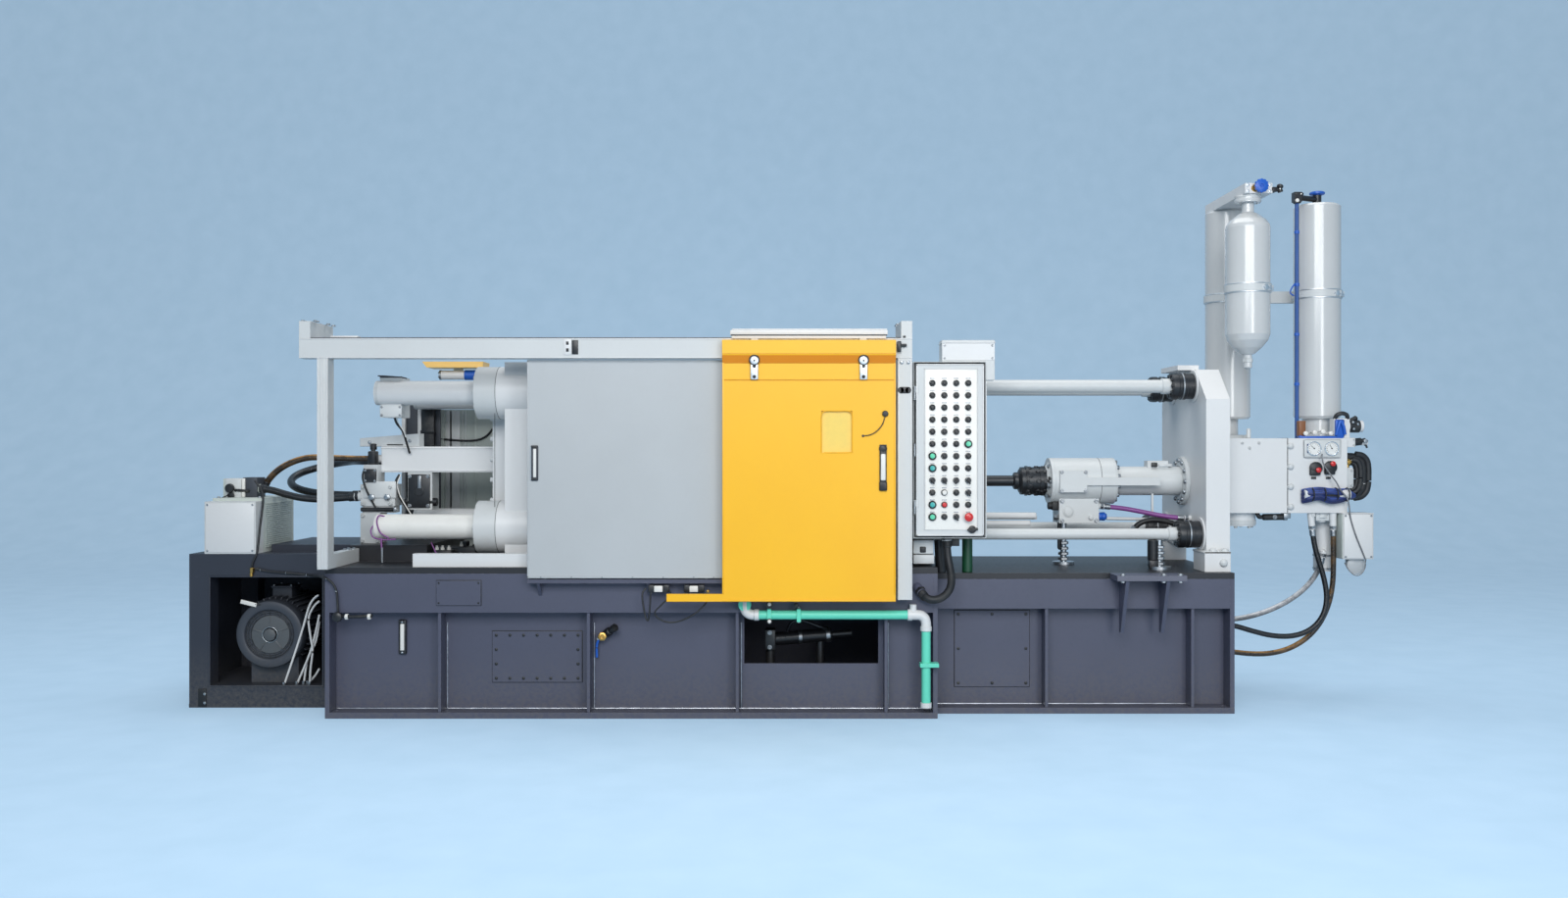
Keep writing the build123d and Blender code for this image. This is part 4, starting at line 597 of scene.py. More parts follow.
# Bed
WEB_LEFT_Y, WEB_RIGHT_Y = -705, -545
BEAD = (11, 8, 0.18)
beads = piece("bed_weld_beads", "weld")
for web_y, heights, places in ((WEB_LEFT_Y, range(44, 700, 82), (-2279.5, -1294.5, -309.5, 675.5)),
                               (WEB_RIGHT_Y, range(44, 704, 83), (1770.5, 2755.5))):
    for x in places:
        for side in (x - 2, x + 22):
            for y in (web_y - 3, 3 - web_y):
                beads.tube([(side, y, z) for z in heights], *BEAD)
for y, places in ((WEB_LEFT_Y - 3, range(-3000, 1010, 200)), (3 - WEB_LEFT_Y, range(-3000, 1010, 200)),
                  (WEB_RIGHT_Y - 3, range(1020, 3000, 198))):
    beads.tube([(x, y, 43) for x in places], *BEAD)

xs = [-1928.5 + i * 91.3 for i in range(7)]
around_window = grid([1190, 1420.5, 1651], [-555], [185, 420, 655])
cover = piece("web_cover_bolts", "black").hex_bolts(grid(xs, [-715], [246, 534]), "-y", 10)
cover.hex_bolts(grid([xs[0], xs[-1]], [-715], [342, 438]) + around_window[:4] + around_window[5:], "-y", 10)
cover.bolts(grid([-2280, -2017], [-845], [765, 897]), "-y", 6)
gaskets = piece("bed_cover_gaskets", "rubber")
for x0, x1, z0, z1, y in ((-1954.5, -1354.5, 220, 560, -705), (1165.5, 1675.5, 160, 680, -545),
                          (-2294.5, -2002.5, 750, 912, -835)):
    gaskets.box(x0 - 4, x1 + 4, y - 3, y, z0 - 4, z1 + 4, 1)

covers = piece("bed_rear_covers", "bed")
screws = piece("bed_rear_cover_bolts", "bolt")
for x0, x1, y, z0, z1 in [(x, x + 650, 705, 190, 590) for x in (-2100, -1120, -140)] + [
        (1150, 1620, 545, 170, 620), (1960, 2560, 545, 170, 620)]:
    covers.box(x0, x1, y, y + 10, z0, z1, 3)
    spots = [(x0 + 30 + i * (x1 - x0 - 60) / 5, y + 10, z) for i in range(6) for z in (220, 560)]
    screws.hex_bolts(spots + grid((x0 + 30, x1 - 30), [y + 10], (333, 446)), "y", 15)

# Oil sight gauge and drain valve
left, right, bottom, top = span(407.5, 667, 415.5, 632, WEB_LEFT_Y)
piece("sight_gauge_frame", "plastic").box(left, right, WEB_LEFT_Y - 22, WEB_LEFT_Y, bottom, top, 7, 3)
piece("sight_gauge_tube", "grip").box(left + 13, right - 13, WEB_LEFT_Y - 28, WEB_LEFT_Y - 4,
                                      bottom + 26, top - 26, 5, 3)
piece("sight_gauge_bolts", "bolt").domes(
    grid([(left + right) / 2], [WEB_LEFT_Y - 22], (bottom + 13, top - 13)), "-y", 20)
x, _, z = seen(616.5, 647.5, WEB_LEFT_Y)
piece("drain_valve_body", "plastic").turned(
    [(24, -30), (24, 4), (17, 8), (17, 24), (27, 28), (30, 50), (27, 72), (20, 76), (20, 104), (26, 108),
     (26, 132), (0, 136)], (x, WEB_LEFT_Y - 14, z), (0.62, -0.55, 0.45), 20).rod(
    (x - 8, WEB_LEFT_Y + 4, z - 4), (x + 10, WEB_LEFT_Y - 40, z + 6), 40)
piece("drain_valve_nut", "brass").turned([(18, 0), (30, 3), (30, 24), (22, 28), (13, 28), (11, 18), (0, 18)],
                                         (x - 6, WEB_LEFT_Y - 42, z - 4), (0.1, -1, 0.05), 6)
piece("drain_valve_lever", "blue").tube(
    [(x - 16, WEB_LEFT_Y - 44, z - 14), (x - 34, WEB_LEFT_Y - 40, z - 34), (x - 44, WEB_LEFT_Y - 36, z - 70),
     (x - 44, WEB_LEFT_Y - 34, z - 146)], 17, 10)
piece("drain_valve_pin", "bolt").rod((x - 36, WEB_LEFT_Y - 8, z - 22), (x - 36, WEB_LEFT_Y - 52, z - 22), 15)

# What the photograph shows inside the bed's window
pit = piece("pit_cylinder", "black")
pit.rod((-60, -440, 470), (330, -440, 500), 92, 4).rod((330, -440, 500), (470, -440, 511), 44, 3)
pit.box(-130, -60, -500, -380, 400, 540, 5)
pit.rod((-95, -440, 40), (-95, -440, 405), 60, 3).rod((250, -440, 40), (250, -440, 460), 50, 3)
pit.tube([(20, -440, 520), (60, -470, 590), (130, -470, 600), (240, -470, 560), (300, -440, 540)], 24, 12)
piece("pit_couplings", "bolt").rod((100, -440, 482), (128, -440, 484), 100, 3).rod(
    (290, -440, 496), (322, -440, 499), 100, 3).bolts(grid([-98], [-500], [420, 520]), "-y", 14)

# Water pipe fittings, white where the photograph shows them
WATER_Y, WATER_Z = -867, 690
fittings = piece("water_fittings", "white")
for x in (-196, 812):
    fittings.turned(sleeve(31, 38, 31), (x, WATER_Y, WATER_Z), "x", 24)
fittings.turned(sleeve(31, 38, 31), (935, WATER_Y, WATER_Z - 75), "-z", 24)
fittings.rod((850, WATER_Y, WATER_Z), (850, WATER_Y, WATER_Z + 70), 46, 3)
fittings.turned(sleeve(31, 37, 35), (935, WATER_Y, 79), "z", 24)
elbows = piece("water_elbows", "white")
for places in (((-258, 800), (-258, 752), (-252, 718), (-228, 696), (-196, 690)),
               ((812, 690), (868, 690), (900, 687), (925, 668), (934, 640), (935, 612))):
    elbows.tube([(x, WATER_Y, z) for x, z in places], 66, 20)
rings = piece("water_clamp_rings", "plastic")
for px, py, size in ((785.1, 616.5, 44), (785.1, 634, 34), (812.3, 617.7, 30)):
    x, _, z = seen(px, py, -917)
    rings.turned([(size * 0.3, 0), (size * 0.55, 3), (size * 0.55, 12), (size * 0.4, 15), (0, 15)],
                 (x, -905, z), "-y", 24)
studs = piece("water_clamp_studs", "grip")
for py in (616.5, 634):
    x, _, z = seen(785.1, py, -922)
    studs.turned([(11, 0), (12, 2), (8, 6), (0, 7)], (x, -919, z), "-y", 18)
studs.turned(sleeve(30, 33.5, 25), (-108, WATER_Y, WATER_Z), "x", 24)
screws = piece("water_clamp_screws", "bolt")
for axis, z in (("z", WATER_Z + 44), ("-z", WATER_Z - 44)):
    screws.hex_bolts(grid([-97, 97], [WATER_Y], [z]), axis, 13)

# Power pack
MOTOR_X, MOTOR_Z, MOTOR_FRONT_Y = -3566.5, 497, -415
DISC_X, COWL_R = MOTOR_X + 8, 236
cowl = piece("motor_cowl", "motor")
cowl.turned([(231, 90), (234, 84), (234, 2), (228, -10), (214, -16), (178, -16), (172, -12), (168, -2)],
            (MOTOR_X, MOTOR_FRONT_Y, MOTOR_Z), "y", 64)
for i in range(36):
    a = 2 * math.pi * i / 36
    x, z = MOTOR_X + COWL_R * math.sin(a), MOTOR_Z + COWL_R * math.cos(a)
    cowl.box(x - 3, x + 3, -320, 190, z - 14, z + 14, 1.2, 1, Matrix.Rotation(a, 4, "Y"))
grille = piece("motor_grille", "black")
grille_middle = (MOTOR_X, MOTOR_FRONT_Y - 3, MOTOR_Z)
for d in (324, 296, 262):
    grille.ring(grille_middle, "-y", d, 6, 56, 8)
grille.spokes([grille_middle] * 2, "y", (128, 168), range(0, 360, 15), 5, 1, 8)
fan = piece("motor_end_disc", "cowl_disc")
fan.turned([(128, 0), (132, 3), (130, 9), (70, 15), (52, 16)], (DISC_X, MOTOR_FRONT_Y, MOTOR_Z), "-y", 56)
for i in range(5):
    a = math.radians(72 * i + 20)
    x, z = DISC_X + 92 * math.cos(a), MOTOR_Z + 92 * math.sin(a)
    fan.box(x - 34, x + 34, MOTOR_FRONT_Y - 17, MOTOR_FRONT_Y - 8, z - 4, z + 4, 2, 2,
            Matrix.Rotation(-a, 4, "Y"))
piece("motor_hub", "cowl_disc").turned([(40, 12), (44, 15), (44, 30), (38, 34), (0, 34)],
                                       (DISC_X, MOTOR_FRONT_Y, MOTOR_Z), "-y", 8)
piece("motor_hub_ring", "bolt").ring((DISC_X, MOTOR_FRONT_Y - 18, MOTOR_Z), "-y", 104, 7, 48, 8)
piece("motor_terminal_box", "motor").box(-3636.5, -3496.5, -200, -40, 720, 798, 8, 3).box(
    -3642.5, -3490.5, -206, -34, 796, 810, 4)
piece("motor_terminal_bolts", "bolt").bolts(grid([-3628, -3505], [-190, -50], [810]), "z", 9).hex_bolts(
    grid([-3700, -3433], [-220, 60], [150]), "z", 18)
piece("pump_bay_tag", "grip").box(-3762, -3650, -438, -432, 700, 728, 2, 2,
                                  Matrix.Rotation(math.radians(14), 4, "Y"))
piece("pump_bay_tag_tie", "rubber").tube([(-3662, -435, 708), (-3632, -432, 704), (-3612, -420, 700)], 8, 8)

tubes = piece("pack_steel_tubes", "white")
collars = piece("pack_tube_collars", "bolt")
for i, line in enumerate((
        [(325, 607), (320, 611), (315, 620), (309, 641), (301, 666), (290, 698)],
        [(326, 613), (320, 619), (315, 631), (317, 650), (319, 664), (317, 682), (316, 697)],
        [(326, 627), (323, 641), (317, 664), (309, 684), (303, 698)],
        [(326, 634), (322, 655), (314, 672), (310, 698)],
        [(326, 682), (321, 690), (314, 698)])):
    depth = -440 + 14 * i
    *points, (x, _, _) = [seen(px, py, depth) for px, py in line]
    tubes.tube(points + [(x, depth, 150)], 15, 12)
    collars.turned([(13, 0), (13, 22), (9, 24)], (x, depth, 148), "z", 6)

TRIM_Y, BAY_X, BAY_Z = (-481, -475), (-3958, -3175), (148, 904)
piece("pack_frame_trim", "pack").boxes(2, (-4104, -4094, -470, 470, 0, 26), *(
    (*BAY_X, *TRIM_Y, z - 6, z + 6) for z in BAY_Z), *((x - 6, x + 6, *TRIM_Y, *BAY_Z) for x in BAY_X))
piece("pack_rubber_pads", "rubber").boxes(3, *((x, x + 58, *TRIM_Y, 6, 132) for x in (-4036, -3140)))
piece("pack_foot_bolts", "bolt").hex_bolts(grid([-3990], [-481], [34, 95]), "-y", 9).hex_bolts(
    grid([-4098.5], [-400, 400], [60, 980]), "-x", 18)

piece("switch_box_lid", "white").box(-3985, -3648, -480, -475, 1068, 1410, 3)
piece("switch_box_screws", "bolt").bolts(grid([-3972, -3661], [-480], [1081, 1397]), "-y", 7)
fins = piece("cooler_fins", "rear")
for i in range(22):
    z = 1092 + i * 14.5
    for x in (-3639.5, -3999.5):
        fins.box(x, x + 6, -310, 160, z, z + 5, 1, 1)
piece("cooler_bolts", "bolt").bolts(grid([-3960, -3672], [201], [1092, 1406]), "y", 12).bolts(
    grid([-3960, -3672], [-330, 180], [1439]), "z", 12)


def wire_depth(px):
    """The wire comes forward from the pack's face to the bed's rail."""
    return -486 - 376 * min(max((px - 318) / 11, 0), 1)


wire = piece("pack_wiring", "rubber")
wire.tube([(-3700, -345, 1560), (-3655, -352, 1500), (-3628, -380, 1430), (-3622, -420, 1330),
           (-3622, -450, 1230), (-3626, -465, 1130), (-3632, -478, 1060),
           *route((257.6, 575, -486), (257.4, 584, -486))], 15, 12)
wire.tube([seen(px, py, wire_depth(px)) for px, py in (
    (261, 580), (275, 583), (300, 585), (318, 587), (322, 587.5), (326, 588), (329.5, 589), (334, 590.5),
    (340, 596), (343.5, 604), (344.5, 616), (345, 628))], 16, 12)
wire.tube(route((345, 628, -862), (352, 629, -862), (366, 629, -862), (380, 628, -862)), 22, 12)
piece("pack_wiring_fittings", "brass").turned(
    [(13, 0), (16, 4), (16, 30), (12, 34)], seen(257.4, 584, -486), "z", 6).turned(
    [(11, 0), (11, 26)], seen(256.6, 588, -486), "z", 12)
clips = piece("pack_wiring_clips", "bolt")
for px, py in ((266, 581.5), (292, 584.5), (313, 586.5), (333, 590.5), (343, 603)):
    clips.ring(seen(px, py, wire_depth(px)), (1, -0.3, 0) if px < 330 else (0.2, 0, 1), 15, 5, 18, 8)
knob_at = seen(345, 629, -862)
piece("rail_valve_knob", "plastic").turned(
    [(12, 0), (30, 6), (34, 14), (30, 26), (20, 32), (0, 34)], knob_at, "-y", 24).rod(
    knob_at, (seen(345, 629, 0)[0] * 0.9, -835, knob_at[2]), 26)
nuts = piece("rail_valve_nuts", "grip")
for px in (353.5, 376.5):
    x, y, z = seen(px, 629, -862)
    nuts.turned([(17, 0), (20, 2), (20, 19.2), (17, 21.2)], (x - 8, y, z), "x", 6)

# Valves on the oil tank
x0, x1, z0, z1 = span(231, 510, 247, 488, -185)
piece("pack_valve_details", "light").box(x0, x1, -200, -60, z0 - 30, z1, 4)
x0, x1, z0, z1 = span(249, 512, 262, 487, -170)
piece("pack_valve_block", "motor").box(x0, x1 + 10, -190, -40, z0 - 30, z1, 4)
x0, x1, z0, z1 = span(246.5, 507, 249.5, 488, -205)
piece("pack_valve_band", "grip").box(x0, x1, -205, -70, z0, z1, 2)
knobs = piece("pack_valve_knobs", "plastic")
knobs.turned([(14, 0), (14, 16), (30, 18), (32, 24), (32, 40), (28, 46), (0, 48)],
             (-3925.5, -200, 1504.5), "-y")
knobs.rod((-3900, -204, 1490), (-3800, -204, 1484), 20)
knobs.turned([(18, 0), (22, 3), (22, 22), (0, 26)], (-3922, -205, 1452), "-y", 20)
knobs.tube([(-3925, -215, 1462), (-3950, -250, 1446), (-3990, -270, 1424)], 10, 8)

# Clamp end
TIE_BARS = [(461 * side, z) for side in (-1, 1) for z in (1246, 2168)]
clamp = piece("clamp_flange_bolts", "light")
clamp.bolts([(-2047.5, y, z) for y in (-262, 262) for z in range(1420, 1997, 144)], "-x", 24)
seams = piece("clamp_nut_seams", "rubber")
caps = piece("tie_bar_end_caps", "light")
for y, z in TIE_BARS:
    clamp.hex_bolts(around((-2104.5, y, z), "x", 138, range(0, 360, 45)), "-x", 20)
    seams.ring((-1955.5, y, z), "x", 358, 4, 48, 8)
    caps.turned([(84.5, 30), (84.5, 12), (74, 0), (40, 0), (38, 6), (0, 6)], (-2812, y, z), "x", 40)
piece("tie_bar_white_cover", "grip").turned(
    [(84.6, 2), (86.5, 4), (86.5, 694), (84.6, 696)], (-2806, -461, 1246), "x", 56)

lines = piece("clamp_small_hoses", "rubber")
for d, sides, places in (
        (16, 12, ((402, 424, -360), (405, 432, -340), (411, 440, -300), (415, 452, -200), (418, 462, -120))),
        (20, 12, ((408, 484, -100), (404, 492, -110), (406, 503, -118), (413, 515, -120), (420, 526, -130))),
        (14, 12, ((372, 478, -186), (370, 487, -200), (374, 500, -205), (380, 512, -190), (384, 519, -186))),
        (16, 10, ((415, 453, 730), (424, 446, 730), (486, 449, 735), (508, 432, 742)))):
    lines.tube(route(*places), d, sides)
piece("clamp_pale_tube", "grip").tube(
    route((409, 484, -135), (405.5, 494, -140), (408, 505, -145), (414, 516, -150), (421, 527, -150)), 8,
    10).tube(route((404, 424, -380), (407, 432, -366), (412, 440, -340), (414, 446, -320)), 6, 8)

purple = piece("tie_bar_purple_lines", "purple_hose")
for d, places in (
        (10, ((393, 527, -500), (387, 526, -530), (384.5, 532, -552), (388, 543, -556), (397, 549, -552))),
        (10, ((391, 537, -510), (383, 535, -530), (378.5, 541, -550), (381, 548, -556), (391, 550.5, -556),
              (404, 550, -540))),
        (12, ((389, 549, -556), (389.5, 560, -565), (390, 573, -570))),
        (9, ((440, 553, -420), (443, 560, -430), (446, 566, -440)))):
    purple.tube(route(*places), d, 10)
x, y, z = seen(390, 574, -570)
ends = piece("tie_bar_line_ends", "bolt").rod((x, y, z), (x, y, 1110), 16)
for px, py in ((392, 527), (391, 536), (396, 548)):
    ends.ring(seen(px, py, -468), "x", 16, 6, 18, 8)

x0, x1, z0, z1 = span(371, 508, 404, 491, -190)
piece("clamp_valve_details", "light").box(x0, x1, -192, -180, z0, z1, 4).bolts(
    grid([-2995, -2800], [-192], [1395, 1512]), "-y", 14).bolts(
    grid([-3000, -2893], [-180], [1130, 1308]), "-y", 16)
solenoids = piece("clamp_solenoids", "plastic")
solenoids.turned([(34, 0), (36, 4), (36, 92), (30, 96), (16, 98), (16, 108), (0, 110)],
                 (-2945, -120, 1670), "z", 24)
solenoids.box(-2982, -2900, -205, -178, 1545, 1640, 6).rod((-3010, -186, 1352), (-2780, -186, 1352), 30)
solenoids.turned([(20, 0), (24, 3), (24, 40), (18, 44), (0, 46)], (-2962, -60, 1776), "z", 20)
nuts = piece("clamp_valve_nuts", "bolt").hex_bolts([(-2950 + 60 * i, -184, 1352) for i in range(4)], "-y", 15)
nuts.bolts(grid([-2975, -2907], [-205], [1555, 1630]), "-y", 8)
for x in (-2930, -2820):
    nuts.turned([(20, 0), (24, 3), (24, 26), (18, 30), (0, 31)], (x, -180, 1440), "-y", 6)
piece("clamp_cylinder_details", "white").boxes(
    2, (-2899, -2040, -99, -92, 1621, 1630), (-2899, -2040, -99, -92, 1783, 1792)).box(
    -2870, -2745, -60, 60, 1799, 1822, 5).turned(
    [(26, 0), (28, 4), (28, 22), (22, 26), (0, 27)], (-2700, -20, 1799), "z", 20)
piece("hung_valve_details", "black").box(-2700, -2545, -106, -88, 1360, 1600, 5).rod(
    (-2735, -60, 1400), (-2500, -60, 1400), 60, 5).rod((-2620, -110, 1478), (-2620, -88, 1478), 70, 4)
piece("hung_valve_bolts", "bolt").bolts(grid([-2688, -2557], [-106], [1374, 1586]), "-y", 12).box(
    -2626, -2604, -118, -106, 1500, 1590, 2)
piece("end_box_trim", "light").boxes(2, (-2779, -2629.5, -494, -491, 2003, 2080),
                                     (-2779, -2629.5, -494, -491, 2256, 2272))
piece("end_box_lid", "motor").box(-2779, -2628, -497, -480, 2272, 2281, 2).tube(
    [(-2800, -470, 2286), (-2740, -470, 2284), (-2640, -470, 2276), (-2600, -470, 2268)], 9, 8)
piece("end_box_screws", "bolt").bolts(grid([-2766, -2642], [-494], [2014, 2070]), "-y", 8)
piece("arm_edges", "light").boxes(1, *((-3056, -2636, y, y + 4, 1801, 1808) for y in (-64, 60)))
piece("arm_bolts", "bolt").hex_bolts([(-2990, -60, 1830), (-2700, -60, 1840)], "-y", 12)

# What lies dark under the lower tie bars
DECK_Z = 998
low = piece("deck_lubricators", "plastic").box(-2460, -2330, -330, -240, DECK_Z, 1072, 8, 3)
low.box(-2290, -2160, -320, -250, DECK_Z, 1098, 8, 3).box(-2130, -2060, -300, -220, DECK_Z, 1062, 6, 3)
low.rod((-2470, -200, 1060), (-2050, -200, 1060), 70, 6).rod((-2240, -285, 1098), (-2240, -285, 1136), 52, 6)
low.boxes(4, *((x, x + 30, -230, -170, DECK_Z, 1060) for x in (-2465, -2080)))
low.tube([(-2190, -285, 1098), (-2170, -290, 1130), (-2130, -290, 1136), (-2100, -280, 1100),
          (-2095, -265, 1062)], 14, 10)
nuts = piece("deck_lubricator_nuts", "grip")
for x, z in ((-2440, 1072), (-2400, 1072), (-2355, 1072), (-2265, 1098)):
    nuts.turned([(11, 0), (14, 2), (14, 16), (9, 20), (9, 32), (0, 33)], (x, -300, z), "z", 6)
GAP_Z = (948, 2190)
gap = piece("clamp_gap_column", "plastic").box(-2796, -2700, 570, 640, *GAP_Z, 4)
gap.boxes(3, *((-2802, -2694, 564, 646, z, z + 26) for z in (1120, 1500, 1900, 2120)))
gap.tube([(-2790, 560, 1180), (-2815, 552, 1260), (-2800, 552, 1420), (-2770, 556, 1540)], 34, 12)
# Painted shade: a dark sheet behind the white posts stands for the shadowed gap in front of the rear guard
piece("clamp_gap_painted_shade", "motor").box(-2930, -2826, 612, 622, *GAP_Z, 2).box(
    -2700, -2660, 612, 630, *GAP_Z, 3)
piece("clamp_gap_posts", "white").boxes(3, *((x, x + 27, 575, 611, *GAP_Z) for x in (-2950, -2826)))

# Rear guard behind the clamp end
folds = piece("rear_guard_folds", "rear")
REAR_TOP_Z = 2080
for x in range(-2620, 611, 190):
    folds.boxes(2, (x, x + 16, 738, 745, 1010, REAR_TOP_Z), (x, x + 16, 765, 772, 1010, REAR_TOP_Z))
folds.boxes(2, *((x, x + 12, 736, 745, 1010, REAR_TOP_Z) for x in (-2290, -2262)))
piece("rear_guard_edges", "light").box(-2655, -2540, 738, 745, 1000, REAR_TOP_Z, 3).boxes(
    2, *((x, x + 8, 736, 745, 1000, REAR_TOP_Z) for x in (-2524, -2502)))
piece("tail_platen_seam", "rubber").box(-1957.5, -1953.5, -641.5, -640, 1390, 2024, 0.5, 1)
handles = piece("rear_guard_handles", "plastic")
for x in (-1300, -60):
    handles.tube([(x, 772, 1480), (x, 812, 1500), (x, 820, 1600), (x, 812, 1700), (x, 772, 1720)], 22, 12)
AIR_Y, AIR_Z = 755, 2362
piece("air_cylinder_details", "blue").turned(sleeve(37, 40, 88, 2), (-2505, AIR_Y, AIR_Z), "x", 28).turned(
    [(38, 0), (38, 60), (30, 66), (24, 68), (24, 84), (0, 86)], (-2404, AIR_Y, AIR_Z), "x", 24).rod(
    (-2380, AIR_Y, AIR_Z), (-2380, AIR_Y, 2405), 30)
piece("air_cylinder_sleeve", "white").turned(sleeve(34.5, 36.5, 255), (-2687, AIR_Y, AIR_Z), "x", 32)
air = piece("air_cylinder_ends", "bolt")
for x in (-2703, -2418):
    air.turned(sleeve(37, 39, 15), (x, AIR_Y, AIR_Z), "x", 28)
air.bolts(around((-2704, AIR_Y, AIR_Z), "x", 24, range(45, 360, 90)), "-x", 8)

# Gantry: lips on the channel's edges, and the small parts that it carries
BEAM_Y = -975
piece("gantry_lips", "white").boxes(1, *(
    (-3152, 834, y, y + 3, z, z + 7) for z in (2372, 2495) for y in (BEAM_Y - 3, -865)), *(
    (x, x + 6, BEAM_Y - 4, BEAM_Y, 1010, 2372) for x in (-3034, -3008, -2991, -2971)), *(
    (x, x + 8, BEAM_Y - 3, BEAM_Y, 812, 2362) for x in (742, 823)))
piece("gantry_top_rail", "motor").box(-3120, 834, -972, -868, 2502, 2508, 2)
x0, x1, z0, z1 = span(575, 362, 583, 346, -978)
piece("gantry_small_parts", "white").box(-2960, -2780, -950, -880, 2502, 2520, 3).box(
    x0, x1, -980, -975, z0, z1, 1).box(-340, 672, -950, -900, 2556, 2566, 2)
stop = piece("gantry_stop", "black")
x0, x1, z0, z1 = span(583.5, 361.5, 590, 347, -978)
stop.box(x0, x1, -980.5, -975, z0, z1, 2)
for py in (350, 357):
    x, _, z = seen(579, py, -980)
    stop.box(x - 9, x + 9, -981.5, -979, z - 11, z + 11, 1)
x0, x1, z0, z1 = span(913.5, 359, 918.5, 348, -990)
stop.box(x0 + 12, x1 + 6, -1005, -975, z0, z1, 5)
z = (z0 + z1) / 2 + 8
stop.rod((x1, -990, z), (x1 + 42, -990, z), 20)
x, _, z = seen(923, 398, -976)
for side in (x - 24, x + 24):
    stop.rod((side, -979, z), (side, -972, z), 42, 2)
stop.box(x - 24, x + 24, -979, -972, z - 21, z + 21, 1)
piece("gantry_bolts", "bolt").hex_bolts(grid([-3018, -2982], [-420, -500], [1090]), "z", 14).hex_bolts(
    grid([765, 808], [-975], [2345]), "-y", 14).hex_bolts(grid([-3140, -3060], [-940, -900], [2614]), "z", 14)
piece("gantry_cross_bolts", "bolt").hex_bolts(grid([-3120, -3060, 765, 808], [-600, -700], [2614]), "z", 16)

# Front door
DOOR_Y = -1025
piece("door_folds", "yellow", "front_door").boxes(1, (-399, 722, DOOR_Y - 3, DOOR_Y, 2228, 2234)).boxes(
    2, (-399, -387, DOOR_Y - 4, DOOR_Y, 845, 2340), (711, 722, DOOR_Y - 4, DOOR_Y, 845, 2340),
    (-399, 722, DOOR_Y - 4, DOOR_Y, 798, 808)).box(-756, -399, DOOR_Y - 2, DOOR_Y, 797, 802, 1)
# Painted shadow: a thin orange strip under the fold stands for the shade that the fold casts
piece("door_fold_shadow", "orange", "front_door").box(-399, 722, DOOR_Y - 1.5, DOOR_Y, 2224, 2228, 0.5, 1)
# Painted shade: a thin orange slab on the hood's sloped underside stands for the shade there
hood = piece("door_hood_underside", "orange", "front_door")
verts = [hood.bm.verts.new((x, y - shift, z - shift * 0.4)) for shift in (0.0, 2.0)
         for y, z in ((-1050, 2398.5), (-1026, 2337)) for x in (-398, 721)]
for face in ((0, 1, 3, 2), (4, 6, 7, 5), (0, 4, 5, 1), (2, 3, 7, 6), (0, 2, 6, 4), (1, 5, 7, 3)):
    hood.bm.faces.new([verts[i] for i in face])
plates = piece("door_hanger_plates", "plate", "front_door")
knobs = piece("door_hanger_bolts", "plastic", "front_door")
for x in (-214, 491):
    middle = x + 22.5
    plates.box(x - 2, x + 47, -1043, -1039, 2230, 2340, 4)
    plates.turned([(24, 0), (28, 3), (28, 9), (22, 12), (0, 12)], (middle, -1038, 2352), "-y")
    knobs.box(x - 8, x + 53, -1046, -1026, 2366, 2390, 9, 3)
    for left in (x - 8, x + 39):
        knobs.box(left, left + 14, -1046, -1028, 2342, 2380, 5, 3)
    knobs.domes([(middle, -1043, 2316), (middle, -1043, 2248)], "-y", 22)
    knobs.ring((middle, -1046, 2356), "-y", 62, 8, 32, 10).domes([(middle, -1050, 2352)], "-y", 12)
piece("door_handle_grip", "grip", "front_door").box(623, 656, -1047, -1036, 1578, 1752, 9, 4)
piece("door_handle_ends", "plastic", "front_door").turned(
    [(26, 0), (27, 4), (25, 15), (18, 19), (0, 20)], (639.5, -1025, 1784), "-y").box(
    614, 665, -1045, -1025, 1512, 1572, 8, 3).box(618, 661, -1043, -1025, 1560, 1790, 8, 3)
knob = piece("door_key_knob", "plastic", "front_door")
x, _, z = seen(903.3, 422, -1036)
knob.turned([(18, 0), (19, 3), (15, 6), (19, 9), (20, 14), (16, 19), (0, 21)], (x, DOOR_Y, z), "-y")
knob.tube(route((902.8, 426, -1030), (900.6, 432.5, -1034), (895, 439.5, -1036), (888, 443.5, -1034),
                (881, 444.6, -1029)), 6.5, 10)
x, _, z = seen(880.6, 444.6, -1027)
knob.turned([(7, 0), (8, 2), (8, 8), (0, 9)], (x, DOOR_Y, z), "-y", 16)
piece("door_pane_bead", "yellow", "front_door").tube([(x, -1026, z) for x, z in (
    (243, 1760), (241, 1772), (241, 1880), (241, 1990), (250, 2018), (275, 2028), (341, 2028), (407, 2028),
    (432, 2018), (441, 1990), (441, 1880), (441, 1772), (437, 1760), (341, 1758), (262, 1758))], 7, 8)
ribs = piece("door_back_ribs", "yellow", "front_door")
for x in (-380, 650):
    ribs.box(x, x + 50, -983, -981, 860, 2330, 0.5, 1)
piece("door_hanger_cap", "white", "front_door").boxes(1, (-349, 672, -999, -996, 2524, 2552),
                                                      (-340, 662, -998, -994, 2498, 2524))
piece("door_hanger_line", "rubber", "front_door").box(-344, 668, -1001, -998, 2516, 2523, 1)

